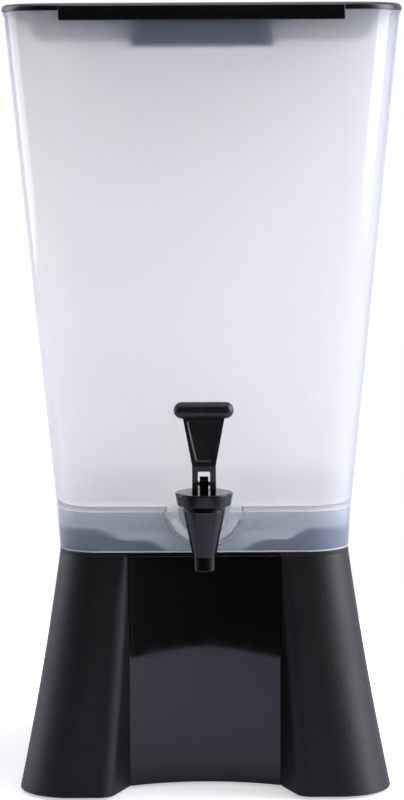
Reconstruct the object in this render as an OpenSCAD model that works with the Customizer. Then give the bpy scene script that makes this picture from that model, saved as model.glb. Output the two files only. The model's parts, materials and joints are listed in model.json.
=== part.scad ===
// Countertop juice dispenser: a flared stand, a lift-off container with a lid, and a self-closing lever tap.
// The front faces -Y and up is +Z. The origin lies on the table, under the middle of the bounding box.

/* [Stand] */
// Width of the stand across its deck
stand_top_w = 207; // [195:1:225]
// Width of the stand across its bottom edge
stand_foot_w = 265; // [245:1:300]
// Height of the stand from its bottom edge to the top of its deck
stand_h = 170; // [150:1:200]
// Corner radius of the deck, shared with the container that sits on it
stand_top_corner = 31; // [26:1:38]
// Corner radius of the bottom edge
stand_foot_corner = 37; // [30:1:46]
// How far each flared side bows inward half way down
stand_bow = 1.5; // [0:0.1:4]
// Wall of the stand
stand_wall = 3; // [2:0.25:4]
// Thickness of the deck
deck_t = 3; // [2:0.25:5]
// Depth of the ribs under the deck
rib_depth = 12; // [6:1:25]
// Thickness of a rib
rib_t = 2; // [1.5:0.25:3]
// Distance of each rib from the middle of the stand
rib_x = 36; // [25:1:45]

/* [Locating collar] */
// Height of the collar that the container drops over
collar_h = 17.5; // [12:0.5:22]
// Height of the collar's low stretches beside the front gap
collar_step_h = 9; // [5:0.5:11]
// Thickness of the collar
collar_t = 2.5; // [2:0.25:4]
// Width of the front gap that clears the sump
collar_gap_w = 52; // [44:1:60]
// Length of each low stretch
collar_step_w = 20; // [12:1:24]
// Length over which the collar's edge climbs to the next height
collar_rise_w = 13.5; // [9:0.5:16]
// Gap between the collar and the inside of the container's skirt
collar_clearance = 0.8; // [0.5:0.1:1.5]

/* [Cup recess] */
// Width of the recess at its back
recess_w = 108; // [90:1:120]
// How far the upright edges of the fascia lie behind the front of the deck
recess_set_back = 3.5; // [3:0.25:6]
// How much deeper the fascia is in the middle than at its edges
recess_bow = 12; // [6:0.5:16]
// Angle by which the side walls of the recess open toward the front
recess_splay = 22; // [10:1:30]
// Rounding of the front edges of the recess
recess_edge_r = 4; // [2:0.5:6]
// Thickness of the fascia
fascia_t = 2.5; // [1.5:0.25:3]
// Gap round the fascia
fascia_clearance = 0.25; // [0.2:0.05:0.5]

/* [Feet] */
// Diameter of a foot
foot_d = 9; // [7:0.5:10]
// Height of a foot below the stand
foot_drop = 2; // [1.5:0.5:4]
// Diameter of the plug on a foot
foot_plug_d = 5; // [3:0.5:6]
// Length of the plug on a foot
foot_plug_h = 9; // [6:0.5:11]
// Wall of the boss round the plug
foot_boss_wall = 3; // [2:0.25:4]
// Height of the boss
foot_boss_h = 12; // [12:0.5:16]
// Gap round the plug in its boss
plug_clearance = 0.05; // [0.02:0.01:0.1]

/* [Container] */
// Height of the container from its skirt's edge to its rim
container_h = 379; // [320:1:420]
// Width of the container under its rim
container_top_w = 274; // [255:1:290]
// Corner radius under the rim
container_top_corner = 36; // [31:1:48]
// Wall of the container
container_wall = 2.6; // [2:0.1:3.5]
// Thickness of the floor
floor_t = 3; // [2:0.25:4]
// Height of the skirt below the floor
skirt_h = 29; // [27:0.5:34]
// How far the skirt leans outward on each side up to the floor
skirt_lean = 1.8; // [0:0.1:3]
// Rounding between the floor and the walls
floor_cove = 5; // [2:0.5:8]
// Height of the rim bead
rim_h = 3; // [2:0.25:5]
// How far the rim bead stands out from the wall
rim_out = 0.8; // [0.5:0.1:2]
// Gap between the sump and the stand's deck
sump_clearance = 3; // [1.5:0.25:5]
// Length of the sump from the front wall inward
sump_len = 45; // [38:1:60]
// Diameter of the flat pad that the tap seats on
pad_d = 39; // [36:0.5:44]
// Least height of the pad above the wall
pad_proud = 0.7; // [0.4:0.1:1.5]

/* [Lid] */
// Height of the lid's edge above the rim
lid_edge_h = 5; // [4:0.25:8]
// Rounding of the lid's top edge
lid_edge_r = 3.5; // [1:0.25:4]
// How far the lid stands out past the rim bead
lid_overhang = 0.9; // [0.4:0.1:2]
// Thickness of the lid
lid_t = 2.5; // [2:0.1:3]
// Width of the band that seats on the rim
lid_seat_w = 4; // [3.5:0.25:6]
// Distance from the lid's edge to the wall of its tray
tray_inset = 19; // [15:0.5:26]
// Depth of the tray below the lid's top, underside included
tray_depth = 25.5; // [20:0.5:28]
// Corner radius of the tray
tray_corner = 28; // [22:1:36]
// Rounding of the tray's lower edge
tray_round = 11; // [6:0.5:14]
// Width of the finger well
well_w = 98; // [80:1:120]
// Depth of the finger well below the lid's top, underside included
well_depth = 30.5; // [30:0.5:40]
// Gap between the finger well and the container's front wall
well_clearance = 2; // [1:0.25:4]
// How far the finger well reaches into the tray's floor
well_reach = 8; // [4:0.5:14]
// Corner radius of the finger well
well_corner = 7; // [5:0.5:10]
// Width of the front flap
flap_w = 195; // [160:1:205]
// How far the flap hangs below the lid's edge
flap_drop = 7; // [5:0.5:12]
// How far the flap stands out from the lid's edge
flap_proud = 4; // [3:0.25:6]
// Gap between the flap and the rim bead
flap_clearance = 0.5; // [0.4:0.1:0.8]
// Rounding of the flap's ends
flap_end_r = 5; // [3:0.5:5.5]

/* [Tap] */
// Distance from the pad to the spout's axis
tap_reach = 30; // [27:0.5:40]
// Height of the shank's axis below the top of the floor
tap_drop = 2.5; // [0:0.25:5]
// Diameter of the shank
shank_d = 16; // [14:0.5:18]
// Diameter of the bore through the shank
inlet_d = 10; // [8:0.5:11]
// Length of shank that shows past the nut
shank_spare = 3; // [2:0.5:6]
// Diameter of the flange
flange_d = 27; // [24:0.5:32]
// Thickness of the flange
flange_t = 4; // [3:0.25:5]
// Diameter of the top of the bonnet
bonnet_top_d = 40.6; // [39:0.2:44]
// Diameter of the bottom of the bonnet
bonnet_foot_d = 37.2; // [35:0.2:39]
// Height of the bonnet
bonnet_h = 9; // [8:0.5:12]
// Thickness of the bonnet's top
bonnet_t = 4; // [3:0.25:5]
// Rounding of the bonnet's edges
bonnet_edge_r = 1; // [0.5:0.25:1.5]
// Gap between the bonnet and the shank's neck
bonnet_clearance = 1.5; // [1:0.25:3]
// Height of the neck that shows between the cone and the bonnet
neck_h = 3; // [2:0.25:4]
// Diameter of the neck inside the bonnet
neck_d = 28.8; // [28:0.2:29.4]
// Diameter of the top of the cone
cone_top_d = 29.8; // [29.4:0.2:34]
// Height of the cone
cone_h = 33; // [30:0.5:40]
// Diameter of the top of the spout's tip
tip_top_d = 16.2; // [15.6:0.2:18]
// Diameter of the end of the spout's tip
tip_d = 15.6; // [14.6:0.2:16]
// Length of the spout's tip
tip_h = 10; // [8:0.5:16]
// Diameter of the spout's outlet
outlet_d = 11; // [9:0.5:12]
// Wall round the valve chamber
chamber_wall = 2.2; // [1.8:0.1:2.6]
// Depth of the valve seat below the top of the cone
seat_depth = 16; // [14:0.5:18]
// Slack of a turned fit
fit_clearance = 0.3; // [0.25:0.05:0.4]

/* [Tap fixings] */
// Thickness of a gasket
gasket_t = 2; // [1.5:0.25:3]
// Diameter of the gasket inside the container
inner_gasket_d = 37; // [34:0.5:38]
// Thickness of the washer under the nut
slip_washer_t = 1.5; // [1:0.25:2]
// Diameter of the washer under the nut
slip_washer_d = 33; // [31:0.5:36]
// Width of the nut across its flats
nut_flats = 26; // [24:0.5:28]
// Thickness of the nut
nut_t = 8; // [6:0.5:10]
// Gap between the nut and the shank
thread_clearance = 0.1; // [0.05:0.01:0.2]

/* [Valve] */
// Diameter of the stem
stem_d = 6; // [5:0.25:6.5]
// Gap between the stem and the bonnet's bore
stem_clearance = 0.1; // [0.08:0.01:0.15]
// Radius of the stem's head round the lever pin
head_r = 5; // [4.5:0.1:5.2]
// Thickness of the stem's head
head_t = 6; // [5:0.25:6.5]
// Height of the lever pin above the bonnet
pin_rise = 6; // [5.8:0.1:7]
// Diameter of the lever pin
pin_d = 3; // [2.5:0.1:3.4]
// Gap between the pin and the lever's bores
pin_clearance = 0.06; // [0.04:0.01:0.1]
// Diameter of the button at the foot of the stem
button_d = 10; // [9:0.25:10.5]
// Thickness of the button
button_t = 3; // [2:0.25:4]
// How far the seat cup's nose overlaps the seat
seat_lip = 1.8; // [1.2:0.1:2.2]
// Thickness of the seat cup's nose under the button
nose_t = 2.5; // [2:0.25:4]
// Thickness of the lip that the button lifts
cup_lip_t = 1.6; // [1.2:0.1:2.4]
// Wall of the seat cup's bell
cup_wall = 1.2; // [1:0.1:1.5]
// How far the bell is wider than the nose
cup_flare = 1.1; // [0.8:0.1:1.4]
// Thickness of the seat cup's flange
cup_flange_t = 1.5; // [1:0.25:2]
// Thickness of the spring washer
spring_washer_t = 1; // [0.8:0.1:1.5]
// Middle radius of the spring
spring_r = 5.1; // [4.8:0.05:5.4]
// Diameter of the spring's wire
spring_wire = 1.1; // [0.8:0.05:1.3]
// Number of turns of the spring
spring_turns = 5; // [4:1:6]
// Gap between the spring and its seats
spring_clearance = 0.15; // [0.1:0.05:0.3]

/* [Lever] */
// Angle through which the lever is pulled
lever_swing = 50; // [40:1:55]
// Height by which a full pull lifts the stem
stem_lift = 4.5; // [3:0.25:5]
// Running gap between the lever's cam and the bonnet
cam_clearance = 0.3; // [0.2:0.05:0.5]
// Length of the T-bar
bar_w = 41.5; // [36:0.5:50]
// Thickness of the T-bar
bar_d = 11.6; // [10:0.2:14]
// Height of the middle of the T-bar above the lever pin
bar_rise = 51; // [46:0.5:62]
// Width of the neck under the T-bar
lever_top_w = 28.6; // [24:0.2:32]
// Height of the foot of the neck above the lever pin
lever_foot_rise = 13; // [12:0.5:16]
// Thickness of the neck
lever_t = 7; // [6:0.25:9]
// Thickness of each cheek
cheek_t = 4; // [3:0.25:5]
// Distance of the cheeks' back from the lever pin
cheek_back = 5; // [4:0.25:6]
// Gap on each side of the stem's head
slot_clearance = 1.2; // [0.5:0.1:2]
// Height of the top of the slot above the lever pin
slot_rise = 9; // [8:0.25:10]
// Width of the border round the neck's recessed front
lever_border = 3; // [2:0.25:4]
// Depth of the neck's recessed front
lever_recess = 1; // [0.5:0.25:1.5]

/* [Hidden] */
$fn = 64;

// Finish colours
matte_black = [0.10, 0.10, 0.11];
gloss_black = [0.04, 0.04, 0.05];
milky = [0.82, 0.86, 0.92, 0.5];
rubber_grey = [0.16, 0.16, 0.17];
silicone = [0.80, 0.80, 0.76];
steel = [0.70, 0.71, 0.73];

// Facets of the lofted shells
corner_steps = 8;
edge_steps = 4;
bow_steps = 12;
flare_levels = 6;
curve_steps = 4;
// How far a cut runs past the face that it opens
cut_over = 1;
// Share of a wall that the rounding of its edge may fill
edge_share = 0.9;

// Heights above the table
deck_z = foot_drop + stand_h;
deck_under_z = deck_z - deck_t;
floor_z = deck_z + skirt_h;
floor_top_z = floor_z + floor_t;
rim_z = deck_z + container_h;
rim_foot_z = rim_z - rim_h;
lid_top_z = rim_z + lid_edge_h;
tap_z = floor_top_z - tap_drop;
bonnet_z = tap_z + shank_d / 2 + bonnet_clearance;
bonnet_top_z = bonnet_z + bonnet_h;
bonnet_under_z = bonnet_top_z - bonnet_t;
body_top_z = bonnet_under_z - cup_flange_t;
cone_top_z = bonnet_z - neck_h;
cone_z = cone_top_z - cone_h;
tip_z = cone_z - tip_h;
seat_z = cone_top_z - seat_depth;
pin_z = bonnet_top_z + pin_rise;
button_z = seat_z + nose_t;
lip_z = button_z + button_t + fit_clearance;
lip_top_z = lip_z + cup_lip_t;
spring_z = lip_top_z + spring_washer_t;

// Distances forward of the container's middle
fascia_y = stand_top_w / 2 - recess_set_back;
pad_front_y = container_w(tap_z + pad_d / 2) / 2 + pad_proud;
pad_back_y = container_w(tap_z - pad_d / 2) / 2 - container_wall - pad_proud;
spout_y = pad_front_y + tap_reach;
nut_y = pad_back_y - gasket_t - slip_washer_t;

// The bounding box reaches from the bonnet in front to the lid behind
lid_w = container_top_w + 2 * (rim_out + lid_overhang);
frame_shift = (spout_y + bonnet_top_d / 2 - lid_w / 2) / 2;

// Fascia arc: its radius from its chord and depth, and its middle, which lies in front of the stand
fascia_r = (pow(recess_w / 2, 2) + pow(recess_bow, 2)) / (2 * recess_bow);
fascia_mid_y = -fascia_y + recess_bow - fascia_r;
pocket_r = fascia_r + fascia_t + fascia_clearance;

// Lid
lid_corner = container_top_corner + rim_out + lid_overhang;
tray_w = lid_w - 2 * tray_inset;
well_z = lid_top_z - well_depth;
well_front_y = container_w(well_z) / 2 - container_wall - well_clearance;
well_back_y = tray_w / 2 - tray_round - well_reach;

// Tap
cup_nose_r = outlet_d / 2 + seat_lip;
cup_r = cup_nose_r + cup_flare;
neck_r = neck_d / 2;
slot_w = head_t + 2 * slot_clearance;
clevis_w = slot_w + 2 * cheek_t;
cam_rate = stem_lift / lever_swing;
cam_rate_rad = cam_rate * 180 / PI;
spring_len = bonnet_under_z - spring_z - 2 * spring_clearance - spring_wire;

// Foot bosses lie on the diagonals, where the wall at the boss's top still covers their outer side
foot_boss_r = foot_plug_d / 2 + plug_clearance + foot_boss_wall;
foot_diagonal = stand_diagonal(foot_drop + foot_boss_h) - stand_wall / 2 - foot_boss_r;
foot_xy = foot_diagonal / sqrt(2);

function mix(a, b, t) = a + (b - a) * t;

function smooth_step(t) =
    let (s = min(1, max(0, t)))
    s * s * (3 - 2 * s);

// Points of an arc round [x, y], from angle a to angle b
function arc(x, y, r, a, b, steps) =
    [for (i = [0:steps]) [x + r * cos(mix(a, b, i / steps)), y + r * sin(mix(a, b, i / steps))]];

// Outline of a square with round corners, counterclockwise
function square_ring(w, r) =
    let (c = w / 2 - r)
    concat(arc(c, -c, r, -90, 0, corner_steps), arc(c, c, r, 0, 90, corner_steps),
        arc(-c, c, r, 90, 180, corner_steps), arc(-c, -c, r, 180, 270, corner_steps));

// Share of the stand's flare at height z, from 0 under the deck to 1 at the bottom edge
function flare(z) = (deck_under_z - z) / (deck_under_z - foot_drop);

function stand_w(z) =
    mix(stand_top_w, stand_foot_w, flare(z)) - 8 * stand_bow * flare(z) * (1 - flare(z));

function stand_corner(z) = mix(stand_top_corner, stand_foot_corner, flare(z));

// Distance from the middle of the stand to its outside along a diagonal
function stand_diagonal(z) = (stand_w(z) / 2 - stand_corner(z)) * sqrt(2) + stand_corner(z);

// Depth of the recess's back wall at a distance x from the middle
function pocket_y(x, r) = fascia_mid_y + sqrt(r * r - x * x);

// Outline of the stand at height z, moved inward by inset, with the cup recess in its front
function stand_ring(z, inset) =
    let (
        h = stand_w(z) / 2 - inset,
        r = stand_corner(z) - inset,
        side_x = recess_w / 2 + inset,
        depth = max(h - fascia_y + inset * tan(recess_splay / 2), fascia_clearance),
        side_y = depth - h,
        edge_limit = edge_share * depth / (1 - sin(recess_splay)),
        edge_r = min(max(recess_edge_r - inset, fascia_clearance), edge_limit),
        edge_y = edge_r - h,
        edge_x = side_x + (side_y - edge_y) * tan(recess_splay) + edge_r / cos(recess_splay),
        back_r = pocket_r + inset,
        back_angle = asin(side_x / back_r),
        c = h - r
    )
    concat(arc(edge_x, edge_y, edge_r, 180 + recess_splay, 270, edge_steps),
        arc(c, -c, r, -90, 0, corner_steps), arc(c, c, r, 0, 90, corner_steps),
        arc(-c, c, r, 90, 180, corner_steps), arc(-c, -c, r, 180, 270, corner_steps),
        arc(-edge_x, edge_y, edge_r, 270, 360 - recess_splay, edge_steps),
        [[-side_x, side_y]],
        arc(0, fascia_mid_y, back_r, 90 + back_angle, 90 - back_angle, bow_steps),
        [[side_x, side_y]]);

// Outside width of the container at height z
function container_w(z) =
    let (floor_w = stand_top_w + 2 * skirt_lean)
    z < floor_top_z
        ? mix(stand_top_w, floor_w, (z - deck_z) / (floor_top_z - deck_z))
        : mix(floor_w, container_top_w, (z - floor_top_z) / (rim_foot_z - floor_top_z));

function container_corner(z) =
    mix(stand_top_corner, container_top_corner, (z - deck_z) / (rim_foot_z - deck_z));

// Outline of the container at height z, moved inward by inset
function container_ring(z, inset) =
    [z, square_ring(container_w(z) - 2 * inset, container_corner(z) - inset)];

// Outline of the lid's tray, moved inward by inset, at an angle round its rounded lower edge
function tray_ring(inset, angle) =
    let (
        r = tray_round - inset,
        draw_in = inset + r * (1 - cos(angle)),
        z = lid_top_z - tray_depth + tray_round - r * sin(angle)
    )
    [z, square_ring(tray_w - 2 * draw_in, tray_corner - draw_in)];

// Outside radius of the tap's cone at height z
function cone_r(z) = mix(tip_top_d, cone_top_d, (z - cone_z) / cone_h) / 2;

// Point of the lever's cam that lies on the bonnet when the lever is pulled to an angle
function cam_point(angle) =
    let (reach = pin_rise - cam_clearance + cam_rate * angle)
    [-reach * sin(angle) - cam_rate_rad * cos(angle), -reach * cos(angle) + cam_rate_rad * sin(angle)];

// Middle of the spring's wire after a number of turns
function spring_point(turn) = [
    spring_r * cos(360 * turn),
    spring_r * sin(360 * turn),
    spring_wire / 2 + spring_len * turn / spring_turns
];

// Closed skin over a stack of outlines with equal numbers of points
module loft(rings) {
    count = len(rings[0][1]);
    top = (len(rings) - 1) * count;
    polyhedron(
        points = [for (ring = rings) for (p = ring[1]) [p[0], p[1], ring[0]]],
        faces = concat(
            [[for (i = [0:count - 1]) i]],
            [for (j = [0:len(rings) - 2]) for (i = [0:count - 1])
                let (a = j * count + i, b = j * count + (i + 1) % count)
                [a, a + count, b + count, b]],
            [[for (i = [count - 1:-1:0]) top + i]]),
        convexity = 10);
}

module rounded_rectangle(w, d, r) {
    square([w, d - 2 * r], center = true);
    square([w - 2 * r, d], center = true);
    for (x = [-1, 1], y = [-1, 1])
        translate([x * (w / 2 - r), y * (d / 2 - r)])
            circle(r);
}

// Moves the assembly so that its bounding box is centred on the origin
module placed() {
    translate([0, frame_shift, 0])
        children();
}

// Puts the children on the spout's upright axis
module on_spout() {
    placed()
        translate([0, -spout_y, 0])
            children();
}

// Puts the children on the shank's axis, which then runs along their +Z, toward the back
module on_shank(y) {
    placed()
        translate([0, -y, tap_z])
            rotate([-90, 0, 0])
                children();
}

// Puts the children on the lever pin
module on_pin() {
    on_spout()
        translate([0, 0, pin_z])
            children();
}

module stand_skin() {
    levels = [for (i = [0:flare_levels]) mix(foot_drop, deck_under_z, i / flare_levels)];
    difference() {
        loft([for (z = levels) [z, stand_ring(z, 0)]]);
        loft(concat(
            [[foot_drop - cut_over, stand_ring(foot_drop, stand_wall)]],
            [for (z = levels) [z, stand_ring(z, stand_wall)]],
            [[deck_under_z + cut_over, stand_ring(deck_under_z, stand_wall)]]));
    }
}

// Upper edge of the collar at a distance x from the middle of the front
function collar_edge(x) =
    let (
        low = (x - collar_gap_w / 2) / collar_rise_w,
        high = low - 1 - collar_step_w / collar_rise_w
    )
    collar_step_h * smooth_step(low) + (collar_h - collar_step_h) * smooth_step(high);

module collar() {
    collar_w = stand_top_w - 2 * (container_wall + collar_clearance);
    collar_r = stand_top_corner - container_wall - collar_clearance;
    gap_reach = collar_gap_w / 2 + 2 * collar_rise_w + collar_step_w;
    climb_steps = 6;
    climbs = [collar_gap_w / 2, gap_reach - collar_rise_w];
    half_edge = [for (start = climbs) for (i = [0:climb_steps])
        let (x = start + collar_rise_w * i / climb_steps)
        [x, collar_edge(x)]];
    notch = concat(
        [[gap_reach, collar_h + cut_over]],
        [for (i = [len(half_edge) - 1:-1:0]) half_edge[i]],
        [for (p = half_edge) [-p[0], p[1]]],
        [[-gap_reach, collar_h + cut_over]]);
    translate([0, 0, deck_z])
        difference() {
            linear_extrude(collar_h)
                difference() {
                    rounded_rectangle(collar_w, collar_w, collar_r);
                    rounded_rectangle(collar_w - 2 * collar_t, collar_w - 2 * collar_t, collar_r - collar_t);
                }
            rotate([90, 0, 0])
                linear_extrude(stand_top_w)
                    polygon(notch);
        }
}

module deck_ribs() {
    rib_z = deck_under_z - rib_depth;
    reach = stand_w(deck_under_z) / 2 - stand_wall / 2;
    low_reach = stand_w(rib_z) / 2 - stand_wall / 2;
    front = -pocket_y(rib_x, pocket_r) - stand_wall / 2;
    for (side = [-1, 1]) {
        translate([0, side * rib_x + rib_t / 2, 0])
            rotate([90, 0, 0])
                linear_extrude(rib_t)
                    polygon([
                        [-reach, deck_under_z],
                        [reach, deck_under_z],
                        [low_reach, rib_z],
                        [-low_reach, rib_z]]);
        translate([side * rib_x - rib_t / 2, 0, 0])
            rotate([90, 0, 90])
                linear_extrude(rib_t)
                    polygon([
                        [-front, deck_under_z],
                        [reach, deck_under_z],
                        [low_reach, rib_z],
                        [-front, rib_z]]);
    }
}

module base_shell() {
    color(matte_black)
        placed()
            difference() {
                union() {
                    stand_skin();
                    translate([0, 0, deck_under_z])
                        linear_extrude(deck_t)
                            rounded_rectangle(stand_top_w, stand_top_w, stand_top_corner);
                    collar();
                    deck_ribs();
                    for (x = [-1, 1], y = [-1, 1])
                        translate([x * foot_xy, y * foot_xy, foot_drop])
                            cylinder(h = foot_boss_h, r = foot_boss_r);
                }
                for (x = [-1, 1], y = [-1, 1])
                    translate([x * foot_xy, y * foot_xy, foot_drop - cut_over])
                        cylinder(
                            h = foot_plug_h + fit_clearance + cut_over,
                            r = foot_plug_d / 2 + plug_clearance);
            }
}

module front_panel() {
    w = recess_w - 2 * fascia_clearance;
    h = deck_under_z - foot_drop - 2 * fascia_clearance;
    color(gloss_black)
        placed()
            translate([0, 0, foot_drop + fascia_clearance])
                linear_extrude(h)
                    difference() {
                        intersection() {
                            translate([0, fascia_mid_y])
                                circle(fascia_r + fascia_t, $fn = 256);
                            translate([-w / 2, -fascia_y - fascia_t])
                                square([w, recess_bow + 3 * fascia_t]);
                        }
                        translate([0, fascia_mid_y])
                            circle(fascia_r, $fn = 256);
                    }
}

module foot(x, y) {
    rounding = 0.8;
    color(rubber_grey)
        placed()
            translate([x * foot_xy, y * foot_xy, 0])
                rotate_extrude()
                    polygon([
                        [0, 0],
                        [foot_d / 2 - rounding, 0],
                        [foot_d / 2, rounding],
                        [foot_d / 2, foot_drop],
                        [foot_plug_d / 2, foot_drop],
                        [foot_plug_d / 2, foot_drop + foot_plug_h - rounding],
                        [foot_plug_d / 2 - rounding, foot_drop + foot_plug_h],
                        [0, foot_drop + foot_plug_h]]);
}

// Space inside the container's walls between two heights
module container_inside(z0, z1) {
    loft([container_ring(z0, container_wall), container_ring(z1, container_wall)]);
}

// Sump cylinder of radius r, from in front of the wall to its end inside
module sump(r, end_y) {
    translate([0, -stand_top_w, floor_top_z])
        rotate([-90, 0, 0])
            cylinder(h = stand_top_w - end_y, r = r);
}

module container() {
    sump_r = skirt_h + floor_t - sump_clearance;
    sump_end_y = container_w(floor_top_z) / 2 - container_wall - sump_len;
    rim = container_w(rim_foot_z) + 2 * rim_out;
    rim_corner = container_top_corner + rim_out;
    rim_edge = rim_out / 2;
    cove = [for (i = [0:curve_steps])
        let (a = 90 * i / curve_steps, z = floor_top_z + floor_cove * (1 - cos(a)))
        container_ring(z, container_wall + floor_cove * (1 - sin(a)))];
    color(milky)
        placed()
            difference() {
                union() {
                    difference() {
                        loft([
                            container_ring(deck_z, 0),
                            container_ring(floor_top_z, 0),
                            container_ring(rim_foot_z, 0),
                            [rim_foot_z, square_ring(rim, rim_corner)],
                            [rim_z - rim_edge, square_ring(rim, rim_corner)],
                            [rim_z, square_ring(rim - 2 * rim_edge, rim_corner - rim_edge)]]);
                        loft(concat(cove, [container_ring(rim_z + cut_over, container_wall)]));
                        difference() {
                            container_inside(deck_z - cut_over, floor_z);
                            sump(sump_r, sump_end_y - container_wall);
                        }
                        intersection() {
                            container_inside(deck_z, floor_top_z + cut_over);
                            sump(sump_r - container_wall, sump_end_y);
                        }
                    }
                    translate([0, -pad_front_y, tap_z])
                        rotate([-90, 0, 0])
                            cylinder(h = pad_front_y - pad_back_y, d = pad_d);
                }
                translate([0, -pad_front_y - cut_over, tap_z])
                    rotate([-90, 0, 0])
                        cylinder(
                            h = pad_front_y - pad_back_y + 2 * cut_over,
                            r = shank_d / 2 + fit_clearance);
            }
}

// Finger well's plan, drawn in by inset
module well_plan(inset) {
    translate([0, -(well_front_y + well_back_y) / 2])
        rounded_rectangle(well_w - 2 * inset, well_front_y - well_back_y - 2 * inset, well_corner - inset);
}

// Grip at the front of the lid, which hangs in front of the rim
module flap() {
    front = lid_w / 2 + flap_proud;
    rim_front = container_top_w / 2 + rim_out + flap_clearance;
    h = lid_edge_h + flap_drop - lid_edge_r / 2;
    difference() {
        translate([0, -front, rim_z - flap_drop + h / 2])
            rotate([-90, 0, 0])
                linear_extrude(front - lid_w / 2 + lid_seat_w)
                    rounded_rectangle(flap_w, h, flap_end_r);
        translate([-flap_w, -rim_front, rim_z - flap_drop - cut_over])
            cube([2 * flap_w, flap_w, flap_drop + cut_over]);
    }
}

module lid() {
    edge = [for (i = [0:curve_steps])
        let (a = 90 * i / curve_steps, draw_in = lid_edge_r * (1 - cos(a)))
        [lid_top_z - lid_edge_r * (1 - sin(a)), square_ring(lid_w - 2 * draw_in, lid_corner - draw_in)]];
    angles = [for (i = [curve_steps:-1:0]) 90 * i / curve_steps];
    seat_inset = 2 * lid_seat_w;
    color(matte_black)
        placed()
            difference() {
                union() {
                    difference() {
                        loft(concat([[rim_z, square_ring(lid_w, lid_corner)]], edge));
                        translate([0, 0, rim_z - cut_over])
                            linear_extrude(lid_edge_h - lid_t + cut_over)
                                rounded_rectangle(
                                    lid_w - seat_inset,
                                    lid_w - seat_inset,
                                    lid_corner - lid_seat_w);
                    }
                    loft(concat([for (a = angles) tray_ring(0, a)],
                        [[lid_top_z - lid_t / 2, square_ring(tray_w, tray_corner)]]));
                    translate([0, 0, well_z])
                        linear_extrude(well_depth - lid_t / 2)
                            well_plan(0);
                    flap();
                }
                loft(concat([for (a = angles) tray_ring(lid_t, a)],
                    [[lid_top_z + cut_over, square_ring(tray_w - 2 * lid_t, tray_corner - lid_t)]]));
                translate([0, 0, well_z + lid_t])
                    linear_extrude(well_depth)
                        well_plan(lid_t);
            }
}

module tap_body() {
    shank_len = pad_front_y - nut_y + nut_t + shank_spare;
    color(gloss_black) {
        difference() {
            union() {
                on_spout()
                    rotate_extrude()
                        polygon([
                            [0, tip_z],
                            [tip_d / 2, tip_z],
                            [tip_top_d / 2, cone_z],
                            [cone_top_d / 2, cone_top_z],
                            [neck_r, cone_top_z],
                            [neck_r, body_top_z],
                            [0, body_top_z]]);
                on_shank(spout_y)
                    cylinder(h = tap_reach + shank_len, d = shank_d);
                on_shank(pad_front_y + gasket_t + flange_t)
                    cylinder(h = flange_t, d = flange_d);
            }
            on_spout()
                rotate_extrude()
                    polygon([
                        [0, tip_z - cut_over],
                        [outlet_d / 2, tip_z - cut_over],
                        [outlet_d / 2, seat_z],
                        [cone_r(seat_z) - chamber_wall, seat_z],
                        [cone_r(cone_top_z) - chamber_wall, cone_top_z],
                        [cone_r(cone_top_z) - chamber_wall, body_top_z + cut_over],
                        [0, body_top_z + cut_over]]);
            on_shank(spout_y)
                cylinder(h = tap_reach + shank_len + cut_over, d = inlet_d);
        }
    }
}

module tap_bonnet() {
    foot_r = bonnet_foot_d / 2;
    top_r = bonnet_top_d / 2;
    e = bonnet_edge_r;
    guide_r = stem_d / 2 + stem_clearance;
    color(gloss_black)
        on_spout()
            rotate_extrude()
                polygon([
                    [neck_r + fit_clearance, bonnet_z],
                    [foot_r - e, bonnet_z],
                    [foot_r, bonnet_z + e],
                    [top_r, bonnet_top_z - e],
                    [top_r - e, bonnet_top_z],
                    [guide_r, bonnet_top_z],
                    [guide_r, bonnet_under_z],
                    [neck_r + fit_clearance, bonnet_under_z]]);
}

// Flat ring on the shank, with its front face at a distance y forward of the middle
module shank_ring(y, d, t) {
    on_shank(y)
        difference() {
            cylinder(h = t, d = d);
            translate([0, 0, -cut_over])
                cylinder(h = t + 2 * cut_over, r = shank_d / 2 + fit_clearance);
        }
}

module outer_gasket() {
    color(rubber_grey)
        shank_ring(pad_front_y + gasket_t, flange_d, gasket_t);
}

module inner_gasket() {
    color(rubber_grey)
        shank_ring(pad_back_y, inner_gasket_d, gasket_t);
}

module slip_washer() {
    color(matte_black)
        shank_ring(pad_back_y - gasket_t, slip_washer_d, slip_washer_t);
}

module tap_nut() {
    color(matte_black)
        on_shank(nut_y)
            difference() {
                rotate([0, 0, 30])
                    cylinder(h = nut_t, d = nut_flats / cos(30), $fn = 6);
                translate([0, 0, -cut_over])
                    cylinder(h = nut_t + 2 * cut_over, r = shank_d / 2 + thread_clearance);
            }
}

module seat_cup() {
    pocket_r = button_d / 2 + fit_clearance;
    lip_r = stem_d / 2 + fit_clearance;
    color(silicone)
        on_spout()
            rotate_extrude()
                polygon([[0, seat_z], [cup_nose_r, seat_z], [cup_nose_r, button_z], [cup_r, lip_top_z],
                    [cup_r, body_top_z], [neck_r, body_top_z], [neck_r, bonnet_under_z],
                    [cup_r - cup_wall, bonnet_under_z], [cup_r - cup_wall, lip_top_z], [lip_r, lip_top_z],
                    [lip_r, lip_z], [pocket_r, lip_z], [pocket_r, button_z], [0, button_z]]);
}

module spring_washer() {
    color(steel)
        on_spout()
            translate([0, 0, lip_top_z])
                difference() {
                    cylinder(h = spring_washer_t, r = spring_r + spring_wire / 2);
                    translate([0, 0, -cut_over])
                        cylinder(h = spring_washer_t + 2 * cut_over, r = stem_d / 2 + stem_clearance);
                }
}

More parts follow.
